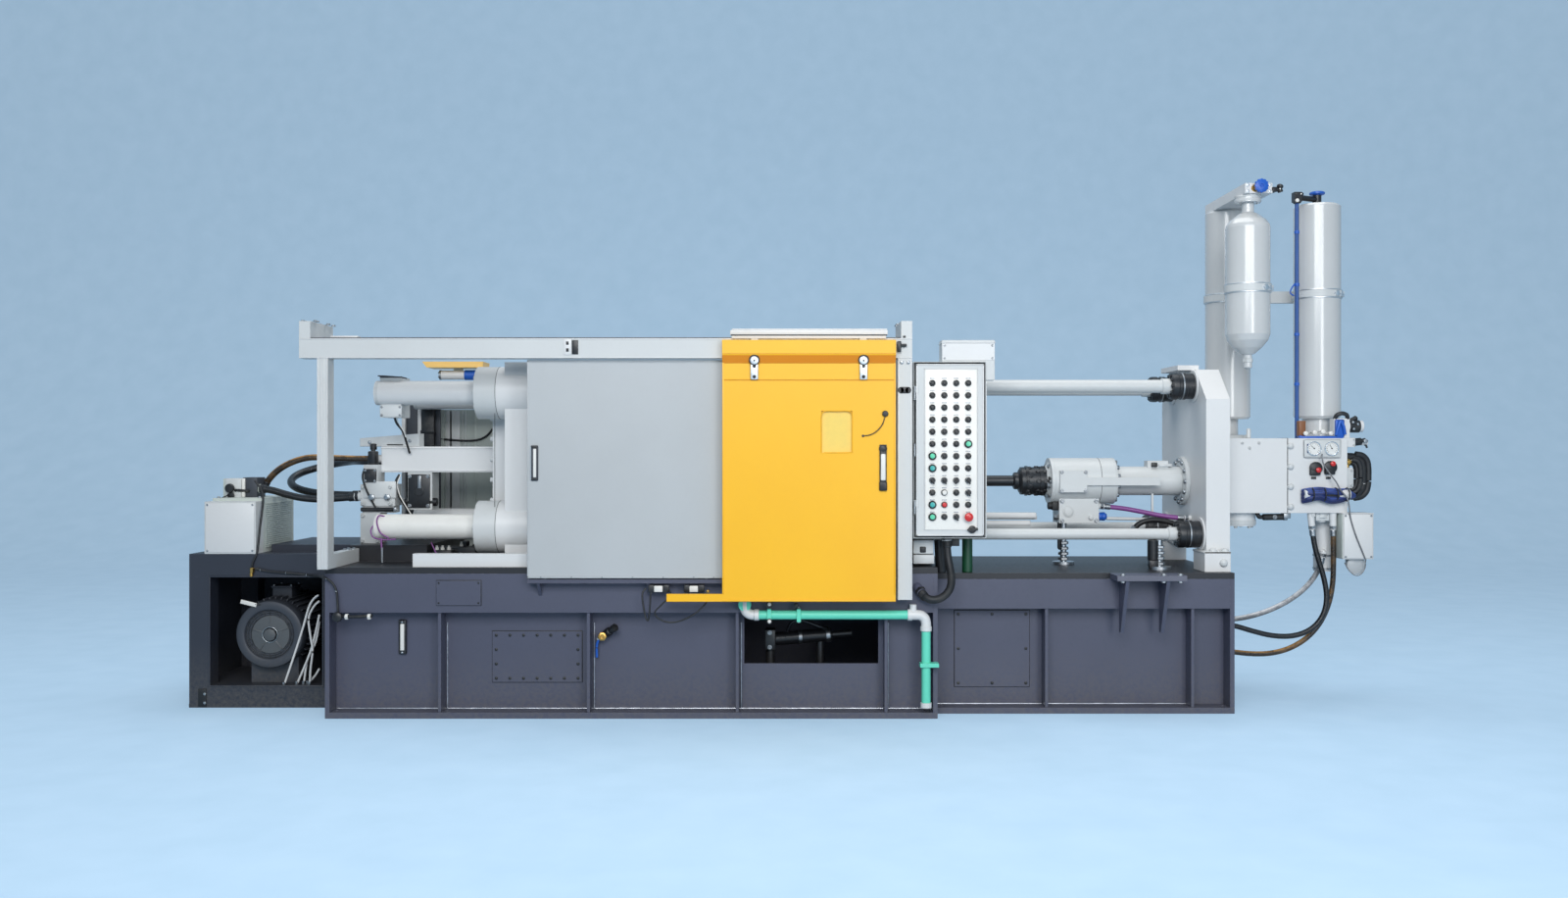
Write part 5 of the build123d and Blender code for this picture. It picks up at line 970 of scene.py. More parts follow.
# Toggle guard
GUARD_Y = -925
folds = piece("guard_folds", "guard", "toggle_guard")
for x0, x1, z0, z1 in ((-1679, -1672, 940, 2360), (-404, -397, 940, 2360), (-1679, -397, 2352, 2362),
                       (-1679, -397, 938, 950)):
    folds.box(x0, x1, GUARD_Y - 3, GUARD_Y, z0, z1, 1)
piece("guard_handle_cup", "motor", "toggle_guard").box(-1654, -1606, -938, -930, 1575, 1805, 6, 3)
piece("guard_handle_insert", "grip", "toggle_guard").box(-1638, -1618, -942, -934, 1596, 1784, 5, 3)
piece("guard_handle_ends", "plastic", "toggle_guard").boxes(2, *((-1650, -1610, -941, -936, z, z + 14)
                                                                 for z in (1786, 1580)))
ribs = piece("guard_back_ribs", "guard", "toggle_guard")
for x in (-1500, -1220, -940, -660):
    ribs.box(x, x + 40, -885, -883, 980, 2330, 0.5, 1)
piece("guard_rivets", "bolt", "toggle_guard").domes(
    [(x, GUARD_Y - 3, 944) for x in (*range(-1590, -589, 200), -460)], "-y", 9)
piece("guard_track_lip", "bed").box(-1679, 739, -927, -925, 903, 909, 0.5, 1)

plugs = piece("track_connectors", "plastic")
bodies = piece("track_connector_bodies", "grip")
for px in (672, 708):
    x, _, z = seen(px, 600.5, -915)
    bodies.box(x - 28, x + 28, -934, -900, z - 20, z + 20, 4)
    plugs.boxes(6, (x - 66, x - 28, -930, -900, z - 26, z + 26), (x + 28, x + 70, -930, -900, z - 26, z + 26))
    plugs.box(x - 60, x + 60, -900, -835, z - 8, z + 8, 3)
plugs.tube(route((659, 600, -915), (655.5, 606, -925), (656.5, 618, -932), (659, 630, -934),
                 (661.5, 632.5, -934), (663, 622, -932), (664, 606, -925), (666, 600, -915)), 12, 10)
plugs.tube(route((682, 601, -915), (684, 607, -935), (676, 616, -942), (668.5, 624, -942), (671, 630, -942),
                 (680, 634.5, -942), (692, 634, -942), (706, 628, -942), (715, 621, -936), (721, 614, -926),
                 (722, 607, -915)), 11, 10)
x, _, z = seen(722.5, 603, -915)
piece("track_connector_lamp", "brass").turned([(9, 0), (12, 3), (12, 14), (6, 20), (0, 21)],
                                              (x, -918, z), "-y", 18)

# Control box
PANEL_Y = -896
piece("panel_inner_plate", "cream", "panel_door").box(926, 1266, -899, PANEL_Y, 1254, 2304, 2)
lip = piece("panel_lip", "white", "panel_door")
for x0, x1, z0, z1 in ((868, 1312, 2330, 2338), (868, 1312, 1212, 1221), (868, 877, 1212, 2339),
                       (1303, 1312, 1212, 2339), (919, 1273, 2304, 2309), (919, 1273, 1249, 1254),
                       (919, 924, 1249, 2309), (1268, 1273, 1249, 2309)):
    lip.box(x0, x1, -901, PANEL_Y, z0, z1, 1.5)
BUTTON_X, BUTTON_Z = 972.25, 1337.15
columns = [BUTTON_X + i * (1207.75 - BUTTON_X) / 3 for i in range(4)]
rows = [BUTTON_Z + i * (2213.85 - BUTTON_Z) / 11 for i in range(12)][::-1]
kinds = {(5, 3): "green", (6, 0): "green", (11, 0): "green", (7, 0): "cyan", (10, 0): "cyan", (10, 1): "red",
         (9, 1): "grip", (11, 3): "stop"}
levers = {(8, 0), (8, 1), (8, 2), (8, 3), (9, 3), (11, 2)}
caps = {look: piece("panel_caps_" + look, look, "panel_door")
        for look in ("green", "cyan", "red", "grip", "plastic")}
rings = piece("panel_button_rings", "plastic", "panel_door")
collars = piece("panel_button_collars", "bolt", "panel_door")
names = piece("panel_button_plates", "bolt", "panel_door")
for r, z in enumerate(rows):
    for c, x in enumerate(columns):
        kind = kinds.get((r, c), "plastic")
        names.box(x - 15, x + 15, -900.2, -899, z + 27, z + 35, 0.5, 1)
        rings.turned([(20, 0), (21, 1), (21, 5), (18, 6)], (x, -899, z), "-y", 24)
        if kind == "stop":
            caps["red"].turned([(13, 0), (13, 8), (27, 11), (29, 16), (28, 24), (20, 29), (0, 31)],
                               (x, -918, z), "-y", 32)
        elif (r, c) in levers:
            collars.turned([(17, 0), (18, 1), (18, 3), (16, 4)], (x, -918, z), "-y", 24)
            turn = Matrix.Rotation(random.choice((0.0, 0.5, -0.5)), 4, "Y")
            caps["plastic"].box(x - 5, x + 5, -936, -916, z - 26, z + 14, 3, 2, turn)
        elif kind in ("green", "cyan"):
            rings.turned([(25, 0), (26, 2), (26, 14), (20, 20), (17, 20)], (x, -899, z), "-y")
            caps[kind].turned([(17, 0), (17, 4), (13, 8), (0, 9)], (x, -917, z), "-y", 24)
        else:
            caps[kind].turned([(15.5, 0), (15.5, 5), (13, 7), (6, 7.5), (0, 7)], (x, -917, z), "-y", 20)
hinges = piece("panel_hinges", "bolt", "panel_door")
for z in (1400, 1775.5, 2150):
    hinges.rod((855, -905, z - 42), (855, -905, z + 42), 16, 2, 16)
x, _, z = seen(992, 541, -900)
piece("panel_lock", "plastic", "panel_door").turned(
    [(24, 0), (25, 3), (25, 12), (14, 16), (14, 26), (0, 27)], (x, PANEL_Y, z + 6), "-y", 24).box(
    x - 34, x + 6, -921, -911, z - 10, z + 8, 4, 3, Matrix.Rotation(0.5, 4, "Y")).box(
    x + 4, x + 36, -921, -911, z - 2, z + 16, 4, 3, Matrix.Rotation(-0.3, 4, "Y"))
x, _, z = seen(922.8, 343.5, -976)
piece("post_mark", "plastic").box(x - 9, x + 9, -979, -974, z - 7, z + 7, 3)
piece("panel_box_trim", "white").box(1037, 1393, -864, -706, 2480, 2488, 2).box(
    1041, 1389, -862, -860, 2366, 2478, 0.8, 1).boxes(1, (1329, 1333, -875, -660, 1201, 2228),
                                                      (1332, 1386, -722, -718, 2244, 2350))
piece("panel_box_screws", "bolt").bolts(grid([1058, 1372], [-862], [2380, 2464]), "-y", 7).bolts(
    grid([1329], [-850, -700], [1230, 1770, 2200]), "x", 9)
louvres = piece("panel_box_louvres", "white")
for z in range(1330, 1523, 24):
    louvres.box(1329, 1336, -830, -720, z, z + 8, 1, 1).box(900, 1280, -675, -668, z, z + 8, 1, 1)
x = seen(987, 560, -610)[0]
piece("panel_stand_pipe", "dark_green").rod((x, -610, 947), (x, -610, 1198), 70, 3)
x0, x1, z0, z1 = span(931.5, 564, 952, 549.5, -720)
piece("panel_under_blocks", "light").boxes(4, (x0, x1, -745, -690, z0 - 4, z1 + 2),
                                           (x0, x1 + 4, -760, -700, z0 - 70, z0 - 10))
x, y, z = seen(958.5, 550, -640)
under = piece("panel_under_parts", "plastic").box(x0 + 44, x0 + 84, -750, -742, z0 + 4, z0 + 44, 6, 3)
under.box(x0 - 4, x1 + 2, -748, -744, z1 - 10, z1, 2).rod((x, y, z), (x + 12, -640, 947), 74, 5)
x0, x1, z0, z1 = span(971, 557, 979, 549, -760)
under.box(x0, x1, -765, -720, z0, z1, 3)

# Shot unit
AXIS_Z = 1551
drum = piece("shot_drum_bolts", "bolt")
drum.bolts(around((2385.5, 0, AXIS_Z), "x", 138, range(15, 360, 30)), "x", 22)
drum.bolts(grid([1979, 2148], [-182], [1485, 1617]), "-y", 13).domes([(2024, -158, 1601)], "-y", 14)
drum.hex_bolts(around((1915.5, 0, AXIS_Z), "x", 118, range(0, 360, 60)), "-x", 22)
piece("shot_drum_seams", "rubber").ring((2270.5, 0, AXIS_Z), "x", 331, 4, 64, 8).ring(
    (2385.5, 0, AXIS_Z), "x", 212, 5, 48, 8)
piece("shot_drum_lip", "light").turned(
    [(158, 0), (168, 4), (168, 12), (160, 16)], (2368, 0, AXIS_Z), "x", 64).turned(
    sleeve(112, 128, 30, 4), (2862, 0, AXIS_Z), "x", 48).turned(
    [(90, -34), (104, -22), (120, -8), (150, 2), (164, 14), (168, 26)], (1918, 0, AXIS_Z), "x", 56)
piece("shot_tube_flange_bolts", "bolt").domes(
    around((2868, 0, AXIS_Z), "x", 150, range(0, 360, 30)), "-x", 34)
piece("shot_tube_flange", "light").turned(
    [(100, 0), (172, 0), (176, 4), (176, 29), (100, 30)], (2868, 0, AXIS_Z), "x", 56)
coupling = piece("plunger_coupling_bolts", "black", "plunger")
for x, r, first in ((1730, 78, 0), (1775, 99, 22.5), (1830, 99, 0), (1880, 99, 0)):
    turns = [first + 45 * k for k in range(8)]
    coupling.spokes([(x, 0, AXIS_Z)] * 2, "x", (r * 0.9, r + 9), turns, 34, 4, 12)
coupling.turned([(42, -54), (58, -49), (62, -40), (62, -20), (84, -10), (90, 0), (70, 6)],
                (1715.5, 0, AXIS_Z), "x", 32)
coupling.turned(sleeve(96, 108, 25, 3), (1744, 0, AXIS_Z), "x", 12)
coupling.turned(sleeve(96, 110, 29, 3), (1842, 0, AXIS_Z), "x", 10)
piece("plunger_coupling_screws", "black", "plunger").bolts(
    [(x, -104 * math.cos(a), AXIS_Z + 104 * math.sin(a)) for x in (1756, 1854)
     for a in map(math.radians, (-40, 0, 40))], "-y", 10)

block = piece("shot_manifold_details", "light")
x, _, z = seen(1090.2, 522, -112)
block.turned([(40, 0), (40, 3), (36, 5), (31, 5), (29, 8), (14, 10), (0, 9)], (x, -110, z), "-y", 32)
x, _, z = seen(1113, 528, -112)
block.turned([(15, 0), (18, 2), (18, 14), (12, 16), (0, 17)], (x, -110, z), "-y", 6)
block.box(2262, 2275, -80, 80, 1262, 1330, 3)
piece("shot_manifold_bolts", "bolt").bolts(grid([1996, 2240], [-110], [1268, 1408]), "-y", 16).bolts(
    grid([2040, 2180], [110], [1268, 1408]), "y", 16)
left = piece("shot_left_fittings", "bolt")
left.turned([(20, 0), (28, 3), (28, 30), (20, 34), (16, 60), (16, 70)], (1975.5, -60, 1372), "-x", 6)
for place in ((1975.5, -60, 1290), (1915.5, -106, 1520)):
    left.turned([(18, 0), (24, 3), (24, 28), (18, 32), (0, 33)], place, "-x", 6)
piece("shot_left_hoses", "rubber").turned(
    [(24, 0), (26, 4), (26, 34), (20, 38), (0, 38)], (1940, -60, 1372), "-x", 20).box(
    1930, 1975, -92, -30, 1340, 1404, 8).turned(
    [(20, 0), (24, 4), (24, 20), (0, 22)], (1918, -108, 1560), "-x", 18)
piece("shot_blue_connector", "blue").turned(
    [(25, 0), (31, 4), (31, 20), (27, 24), (31, 28), (31, 48), (24, 54), (20, 62), (0, 62)],
    (2262, -66, 1296), "x", 16)
piece("shot_side_pipe", "light").rod((2324, -66, 1282), (2640, -66, 1276), 24).box(
    2636, 2672, -84, -48, 1262, 1296, 4).box(2648, 2664, -72, -56, 1272, 1462, 3)
piece("shot_frame_hose", "rubber").tube(
    [(2506, -150, 1216), (2534, -155, 1246), (2580, -160, 1268), (2640, -165, 1276), (2720, -170, 1268),
     (2800, -175, 1240), (2850, -180, 1228), (2897, -180, 1228)], 38, 16)
piece("shot_frame_hose_nut", "bolt").turned(
    [(22, 0), (28, 3), (28, 36), (22, 40)], (2857, -180, 1228), "x", 6).turned(
    [(16, 0), (22, 3), (22, 30), (16, 34)], (2489, -147, 1200), (0.5, -0.1, 0.8), 6).box(
    2462, 2512, -180, -60, 1150, 1204, 4)
piece("shot_tube_fittings", "light").box(2705, 2800, -60, -20, 1655, 1674, 3)
piece("shot_tube_switch", "plastic").box(2654, 2694, -66, -20, 1652, 1684, 4)
piece("pour_trays", "white").box(1015, 1816, -100, -62, 1284, 1326, 10, 3).box(
    1015, 1776, -90, -62, 1230, 1268, 10, 3).box(1015, 1060, -100, 60, 1230, 1326, 3)

# Rods, nuts and the frame plate
nuts = piece("rod_nut_details", "black")
shine = piece("rod_nut_bands", "bolt")
rims = piece("rod_nut_rims", "white")
tips = piece("rod_nut_teeth", "light")
for y, z, r in ((245, 2225, 46), (-245, 2225, 46), (394, 1191, 39), (-394, 1191, 39)):
    nuts.turned([(80, 0), (93, 6), (95, 20), (95, 46), (88, 52), (88, 66), (95, 72), (95, 104), (82, 112),
                 (82, 124), (91, 130), (91, 164)], (2727.5, y, z), "x", 36)
    nuts.spokes([(2734, y, z), (2718, y, z)], "x", (72, 72), range(0, 360, 36), 24, 2, 10)
    shine.turned(sleeve(91, 96.5, 10), (2800, y, z), "x", 36)
    rims.turned([(90, 0), (112, 0), (116, 4), (116, 11), (90, 12)], (2885, y, z), "x", 44)
    tips.turned([(r, 0), (r + 9, 5), (r + 9, 60), (r, 66)], (2664, y, z), "x")
    tips.boxes(3, *((2722, 2752, py - 9, py + 9, pz - 9, pz + 9)
                    for _, py, pz in around((0, y, z), "x", r + 2, range(30, 360, 60))))
plate = piece("frame_plate_bolts", "light").domes(grid((2925, 3005), (-570, 570), [1082]), "z", 52)
plate.domes([(2985, -600, 1008)], "-y", 54).domes([(2985, 600, 1008)], "y", 54)
plate.hex_bolts(grid([3061.5], (-440, 440), (1180, 1600, 2020)), "x", 26)
piece("pedestal_plates", "light").boxes(3, *((2854, 3038, y - 122, y + 122, 1070, 1084) for y in (-478, 478)))
jack = piece("jack_nuts", "bolt")
for x, y in ((2028.5, 0), (2607.5, -394)):
    for z in (975, 1012, 1050, 1090):
        jack.turned(sleeve(30, 38, 24, 4), (x, y, z), "z", 6)
    jack.turned([(60, 0), (62, 2), (62, 12), (48, 16), (24, 16)], (x, y, 947), "z", 32)
piece("jack_sleeves", "black").rod((1996, -10, 1060), (1996, -10, 1250), 26).rod(
    (2560, -410, 1010), (2560, -410, 1152), 74, 6).box(2530, 2592, -440, -380, 950, 1012, 5).turned(
    [(70, 0), (72, 2), (50, 9), (30, 10)], (2028.5, 0, 949), "z", 32)
piece("shelf_details", "shelf").box(2195.5, 2655.5, -867, -865, 911, 947, 0.8, 1).domes(
    [(x, -700, 905) for x in (2240, 2420, 2600)], "-z", 20)
screws = piece("shelf_bolts", "bolt")
for z, axis in ((911, "-z"), (947, "z")):
    screws.hex_bolts([(x, -845, z) for x in (2235, 2505, 2615)], axis, 20)

# Valve blocks
bolts = piece("valve_block_bolts", "light")
for py in (455, 476, 496.5, 517):
    x, _, z = seen(1316.8, py, -252)
    bolts.domes([(x, -250, z)], "-y", 46)
bolts.domes([(3598.5, 250, z) for z in (1390, 1530, 1670, 1800)], "y", 46)
bolts.bolts(route((1267.7, 452, -250), (1275, 457, -250), (1284.6, 452, -250)), "-y", 10)
bolts.bolts(grid([3110, 3500], [500], [1380, 1800]), "y", 30)
bolts.bolts(grid([3980.5], [-180, 200], [1380, 1800]), "x", 28)
piece("valve_block_seams", "rubber").box(3556, 3561, -252.5, -249, 1332, 1856, 0.5, 1).box(
    3556, 3561, -250, 250, 1857, 1860, 0.5, 1)
piece("gauge_plate_trim", "light").box(3668, 3928, -268, -262, 1722, 1849, 9, 3)
dials = piece("gauge_faces", "dial")
bezels = piece("gauge_bezels", "chrome")
hands = piece("gauge_hands", "rubber")
GAUGE_Z = 1785.5
marks = [-45 + 22.5 * k for k in range(13)]
for x, angle in ((3735.75, 2.4), (3860.25, 2.1)):
    bezels.turned([(48, 0), (50, 2), (50, 12), (46, 15), (43, 12)], (x, -268, GAUGE_Z), "-y", 40)
    dials.turned([(44, 0), (44, 1.5), (0, 1.5)], (x, -276, GAUGE_Z), "-y", 40)
    hands.spokes([(x, -278, GAUGE_Z)] * 2, "y", (31, 38), marks, 2.4, 0.5, 6)
    hands.rod((x, -279, GAUGE_Z), (x + 30 * math.cos(angle), -279, GAUGE_Z + 30 * math.sin(angle)), 3, 0.5, 6)
    hands.turned([(5, 0), (5, 3), (0, 4)], (x, -277, GAUGE_Z), "-y", 14)
piece("gauge_side_switch", "bundle").box(3688, 3708, -276, -266, 1754, 1818, 4)
plugs = piece("sensor_plugs", "plastic")
reds = piece("sensor_caps", "red")
for px, py, rx, rz in ((1343.5, 477.5, 1345.7, 479.5), (1358.5, 476.5, 1360.5, 473)):
    x, _, z = seen(px, py, -275)
    plugs.turned([(40, 0), (44, 4), (44, 20), (34, 26), (0, 27)], (x, -250, z), "-y")
    plugs.box(x - 44, x + 30, -278, -250, z - 52, z - 8, 9, 3)
    x, _, z = seen(rx, rz, -290)
    reds.turned([(17, 0), (18, 3), (18, 14), (12, 18), (0, 19)], (x, -277, z), "-y", 22)
    x, _, z = seen(px - 3.5, 487.5, -256)
    plugs.box(x - 14, x + 20, -262, -250, z - 8, z + 8, 3)
bundle = piece("blue_cable_bundle", "bundle")
for i in range(7):
    drop = 10 * math.sin(i * 0.9)
    y, z = -290 - 8 * (i % 3), 1492 - i * 12
    bundle.tube([(3660 + 5 * (i % 2), -262, z - 8), (3684, y, z), (3760, y - 8, z + 8 - drop),
                 (3840, y - 6, z + drop), (3910, y, z - 2), (3972, y + 22, z - 8 + i * 4),
                 (4024, -262, 1452)], 32, 12)
ties = piece("bundle_ties", "rubber")
for x in (3712, 3795, 3880, 3960):
    ties.ring((x, -293, 1462), "x", 92, 9, 28, 8)
ties.box(3730, 3900, -320, -310, 1446, 1474, 6)
coil = piece("black_cable_coil", "rubber")
coil.tube([(3982, -160, 1722), (4030, -160, 1722), (4064, -161, 1719), (4096, -162, 1708), (4116, -163, 1684),
           (4126, -163, 1650), (4127.5, -163, 1588), (4126, -163, 1526), (4116, -163, 1492),
           (4096, -162, 1468), (4064, -161, 1457), (4030, -160, 1454), (3982, -160, 1454)], 66, 18)
coil.tube([(4040, -192, 1706), (4076, -200, 1694), (4094, -202, 1650), (4097, -202, 1588), (4090, -202, 1526),
           (4068, -200, 1484), (4036, -194, 1468)], 40, 14)
coil.tube([(3985, -262, 1440), (4020, -250, 1436), (4060, -230, 1448), (4100, -205, 1490)], 26, 12)
coil.tube([(4070, -176, 1744), *((x, -178, z) for x, z in (
    (4118, 1734), (4150, 1700), (4160, 1650), (4161, 1588), (4158, 1528), (4144, 1478), (4108, 1444),
    (4060, 1434)))], 46, 14)
coil.tube([(4046, -176, 1690), (4070, -180, 1668), (4078, -182, 1630), (4079, -182, 1588), (4076, -182, 1546),
           (4064, -180, 1508), (4040, -176, 1490)], 44, 14)
piece("side_block_details", "light").box(3975, 4046, -206, -200, 1512, 1643, 3).bolts(
    grid([3992, 4030], [-206], [1526, 1630]), "-y", 10)
piece("side_brass_fitting", "brass").turned(
    [(18, 0), (22, 3), (22, 22), (15, 26), (15, 40), (0, 41)], (4012, -175, 1690), "-y", 6).rod(
    (4012, -180, 1650), (4012, -180, 1712), 26)
piece("side_black_fitting", "plastic").box(3984, 4044, -185, -150, 1664, 1738, 9, 3).rod(
    (4040, -170, 1700), (4078, -170, 1680), 44, 6)

# Valves above the side block
piece("top_valve_body", "blue").box(3928, 3994, -176, -165, 1868, 1992, 10, 3).tube(
    [(3932, -178, 1880), (3944, -184, 1930), (3962, -184, 1980), (3984, -184, 1940), (3996, -178, 1886)],
    22, 12)
piece("top_valve_coils", "plastic").turned(
    [(42, 0), (46, 5), (46, 74), (40, 80), (18, 82), (18, 92), (0, 93)], (4040, -125, 1944), "x", 30).rod(
    (4052, -125, 1980), (4104, -125, 2008), 34, 5).tube(
    [(3936, -150, 1998), (3944, -168, 2024), (3978, -172, 2036), (4014, -166, 2024), (4026, -150, 1996)],
    30, 12)
piece("top_valve_port", "light").box(3975, 4064, -196, -120, 1796, 1862, 5).bolts(
    grid([3990, 4048], [-196], [1810, 1848]), "-y", 9)
port = piece("port_connectors", "plastic")
port.rod((4064, -160, 1830), (4122, -160, 1836), 54, 6).rod((4112, -160, 1838), (4146, -176, 1850), 26, 4)
port.tube([(4120, -160, 1820), (4146, -170, 1810), (4156, -172, 1790)], 14, 10)
port.tube([(4100, -182, 1836), (4130, -196, 1844), (4150, -196, 1838)], 12, 10)
piece("port_screws", "bolt").domes(
    [(4056, -172, 1972), (4090, -172, 1958), (4062, -172, 1925)], "-y", 20).turned(
    [(12, 0), (15, 2), (15, 16), (0, 18)], (4130, -196, 1838), "-y", 12)

# Bottles, their feet and what stands beside them
BLADDER, REAR_BOTTLE, SIDE_BOTTLE = (3262.5, -290), (3336.5, 330), (3900.5, 70)
BLADDER_R, BOTTLE_R = 150, 162.5
piece("side_bottle_foot", "bottle").turned(
    [(150, 30), (150, 0), (104, -8), (104, -110), (122, -116), (122, -146), (0, -147)],
    (*SIDE_BOTTLE, 2005), "z", 48)
piece("side_bottle_base_line", "blue").box(3672, 3990, -180, -172, 1858, 1874, 3).tube(
    [(3716, -60, 1870), (3700, -110, 1872), (3690, -150, 1868), (3700, -172, 1862)], 24, 12)
piece("side_bottle_brown_fitting", "brown").box(3680, 3730, -150, -96, 1874, 1984, 7, 3)
nuts = piece("side_bottle_nuts", "grip")
for x, y, z in ((3722, -152, 1893), (3790, -140, 1900), (3846, -150, 1906), (3905, -140, 1894)):
    nuts.turned([(14, 0), (17, 3), (17, 20), (10, 24), (0, 24)], (x, y, z), "-y", 6)
    nuts.rod((x, y, z), (x, y + 60, z), 18)
piece("gauge_wire", "pale_hose").tube(
    route((1349, 463, -285), (1350, 472, -300), (1356, 482, -312), (1363, 491, -326), (1368, 500, -336),
          (1374, 507, -336), (1376.5, 515, -322), (1378, 528, -302), (1383, 545, -302), (1389, 560, -302),
          (1393.6, 571.5, -298)), 10, 10).tube(
    route((1372, 574, -292), (1376, 581, -290), (1382, 586.5, -286), (1388, 586, -286), (1392.5, 580, -288),
          (1393.5, 571.5, -290)), 8, 10)
piece("relay_box_trim", "white").box(3938, 4142, -294, -290, 1012, 1324, 3).box(
    3930, 4150, -294, -136, 1325, 1331, 2)
piece("relay_box_under", "guard").turned(
    [(62, 0), (66, 3), (66, 14), (62, 17), (0, 17)], (4046, -236, 962), "-y", 40).box(
    3990, 4100, -250, -190, 960, 1008, 4)
piece("relay_box_side", "rear").box(3928, 3934, -286, -144, 1012, 1324, 2)
piece("relay_box_screws", "bolt").bolts(grid([3950, 4130], [-294], [1024, 1312]), "-y", 7)

# Under the valve blocks
under = piece("block_under_fittings", "light")
for px in (1339, 1360.5):
    under.turned([(20, 0), (26, 3), (26, 26), (20, 30), (20, 90), (24, 94), (24, 112), (0, 114)],
                 (seen(px, 533, -220)[0], -216, 1329), "-z", 6)
under.turned([(44, 0), (46, 3), (46, 34), (34, 40), (34, 62), (26, 70), (0, 71)],
             (3822, -180, 1329), "-z", 24)
under.box(3775, 3870, -215, -150, 1272, 1329, 4)
under.turned([(118, 0), (121, 3), (121, 30), (112, 40)], (3270.5, -80, 1275), "-z", 48)
under.bolts(around((3270.5, -80, 1233), "z", 96, range(0, 360, 60)), "-z", 16)
piece("block_under_tube", "rubber").rod((3400, -200, 1298), (3545, -200, 1300), 46, 6).tube(
    [(3395, -200, 1298), (3374, -200, 1302), (3362, -196, 1329)], 30, 12)
piece("block_under_nuts", "bolt").turned(
    [(24, 0), (29, 3), (29, 24), (24, 28)], (3545, -200, 1300), "x", 6).bolts(
    [(3480, -223, 1300)], "-y", 14).box(3540, 3590, -232, -170, 1290, 1329, 4)
drain = piece("drain_cylinder_bands", "bolt")
for z in (1286, 1010, 916):
    drain.turned(sleeve(73, 77, 14, 2), (3895.5, -60, z), "z", 40)
piece("return_hose_plates", "bed").boxes(3, (3034.5, 3046, -290, -120, 500, 620),
                                         (3034.5, 3046, -250, -140, 300, 404))
piece("return_hose_plate_bolts", "bolt").hex_bolts(
    grid([3046], [-276, -134], [514, 606]) + grid([3046], [-238, -152], [312, 392]), "x", 12)

# Tops, bands and clips of the bottles
x, _, z = seen(1287, 187, -430)
wheel = piece("bottle_handwheels", "blue")
wheel.turned([(22, 0), (44, 4), (50, 10), (50, 22), (42, 27), (14, 27), (10, 20), (0, 20)],
             (x, -420, 3605), "-y", 6)
wheel.spokes([(x, -424, 3605), (x, -444, 3605)], "y", (40, 40), range(30, 360, 60), 20, 3, 12)
wheel.turned([(20, 0), (46, 5), (54, 10), (54, 22), (44, 28), (0, 30)], (*SIDE_BOTTLE, 3634), "z", 16)
piece("bottle_brass_stems", "brass").turned(
    [(24, 0), (26, 3), (26, 24), (16, 28), (16, 78)], (*SIDE_BOTTLE, 3560), "z", 18).turned(
    [(26, 0), (28, 3), (28, 22), (18, 26), (18, 44)], (3268, -380, 3594), (0.5, -1, 0.1), 18).turned(
    [(26, 0), (28, 3), (28, 22), (18, 26), (18, 34)], (x, -388, 3605), "-y", 18)
valves = piece("bottle_black_fittings", "plastic").box(3385, 3430, -400, -330, 3572, 3604, 5)
valves.rod((3425, -370, 3588), (3462, -370, 3592), 30, 4)
valves.turned([(14, 0), (18, 3), (22, 10), (22, 22), (14, 30), (0, 31)], (3452, -376, 3596), (0.3, 0, 1), 18)
valves.turned([(14, 0), (18, 3), (18, 18), (0, 20)], (3455, -376, 3588), (0.3, 0, -1), 18)
valves.box(3696, 3740, -44, 4, 3560, 3600, 5).rod((3716.5, -20, 3596), (3722, -20, 3634), 40, 4)
valves.box(3690, 3756, -50, -6, 3614, 3636, 7, 3)
valves.turned([(12, 0), (15, 3), (15, 14), (0, 16)], (3700, -40, 3574), "-y", 16)
piece("bottle_fitting_nuts", "grip").turned(
    [(12, 0), (14, 2), (14, 12), (0, 14)], (3704, -52, 3576), "-y", 6).domes(
    [(3736, -50, 3624), (3448, -398, 3590)], "-y", 12)
fittings = piece("bladder_fittings", "light")
for outline, z, axis, sides in ((sleeve(86, 90, 19, 3), 3516, "z", 44),
                                (sleeve(86, 90, 17, 3), 3542, "z", 44),
                                ([(30, 0), (36, 3), (36, 28), (30, 32)], 2388, "z", 6),
                                ([(22, 0), (27, 4), (27, 18), (12, 30), (0, 31)], 2372, "-z", 6)):
    fittings.turned(outline, (*BLADDER, z), axis, sides)
bands = piece("bottle_bands", "plate")
for bottle, r in ((BLADDER, BLADDER_R), (REAR_BOTTLE, BOTTLE_R), (SIDE_BOTTLE, BOTTLE_R)):
    for z in (2872, 2930):
        bands.turned(sleeve(r, r + 7, 9), (*bottle, z), "z", 56)
screws = piece("bottle_band_screws", "plate")
for bottle, r in ((BLADDER, BLADDER_R), (SIDE_BOTTLE, BOTTLE_R)):
    for angle in (-62, -44, -24):
        a = math.radians(angle)
        screws.hex_bolts(around((*bottle, 2905), "z", r + 4, [angle]), (math.cos(a), math.sin(a), 0), 26)
    a = math.radians(-34)
    screws.rod(*((bottle[0] + (r + 12) * math.cos(b), bottle[1] + (r + 12) * math.sin(b), 2918)
                 for b in (a - 0.2, a + 0.2)), 12)
screws.hex_bolts(around((*BLADDER, 3516), "z", 70, range(0, 360, 45)), "-z", 14)
screws.hex_bolts(grid((3222, 3376), [-400], (3574, 3616)), "-y", 12)
clips = piece("gas_pipe_clips", "blue")
for z in (3340, 2960, 2600, 2240):
    clips.turned(sleeve(14, 18, 24, 2), (3716.5, -20, z), "z", 20)
clips.tube([(3700, -34, 2980), (3676, -34, 2950), (3664, -34, 2912), (3690, -34, 2890)], 11, 8)
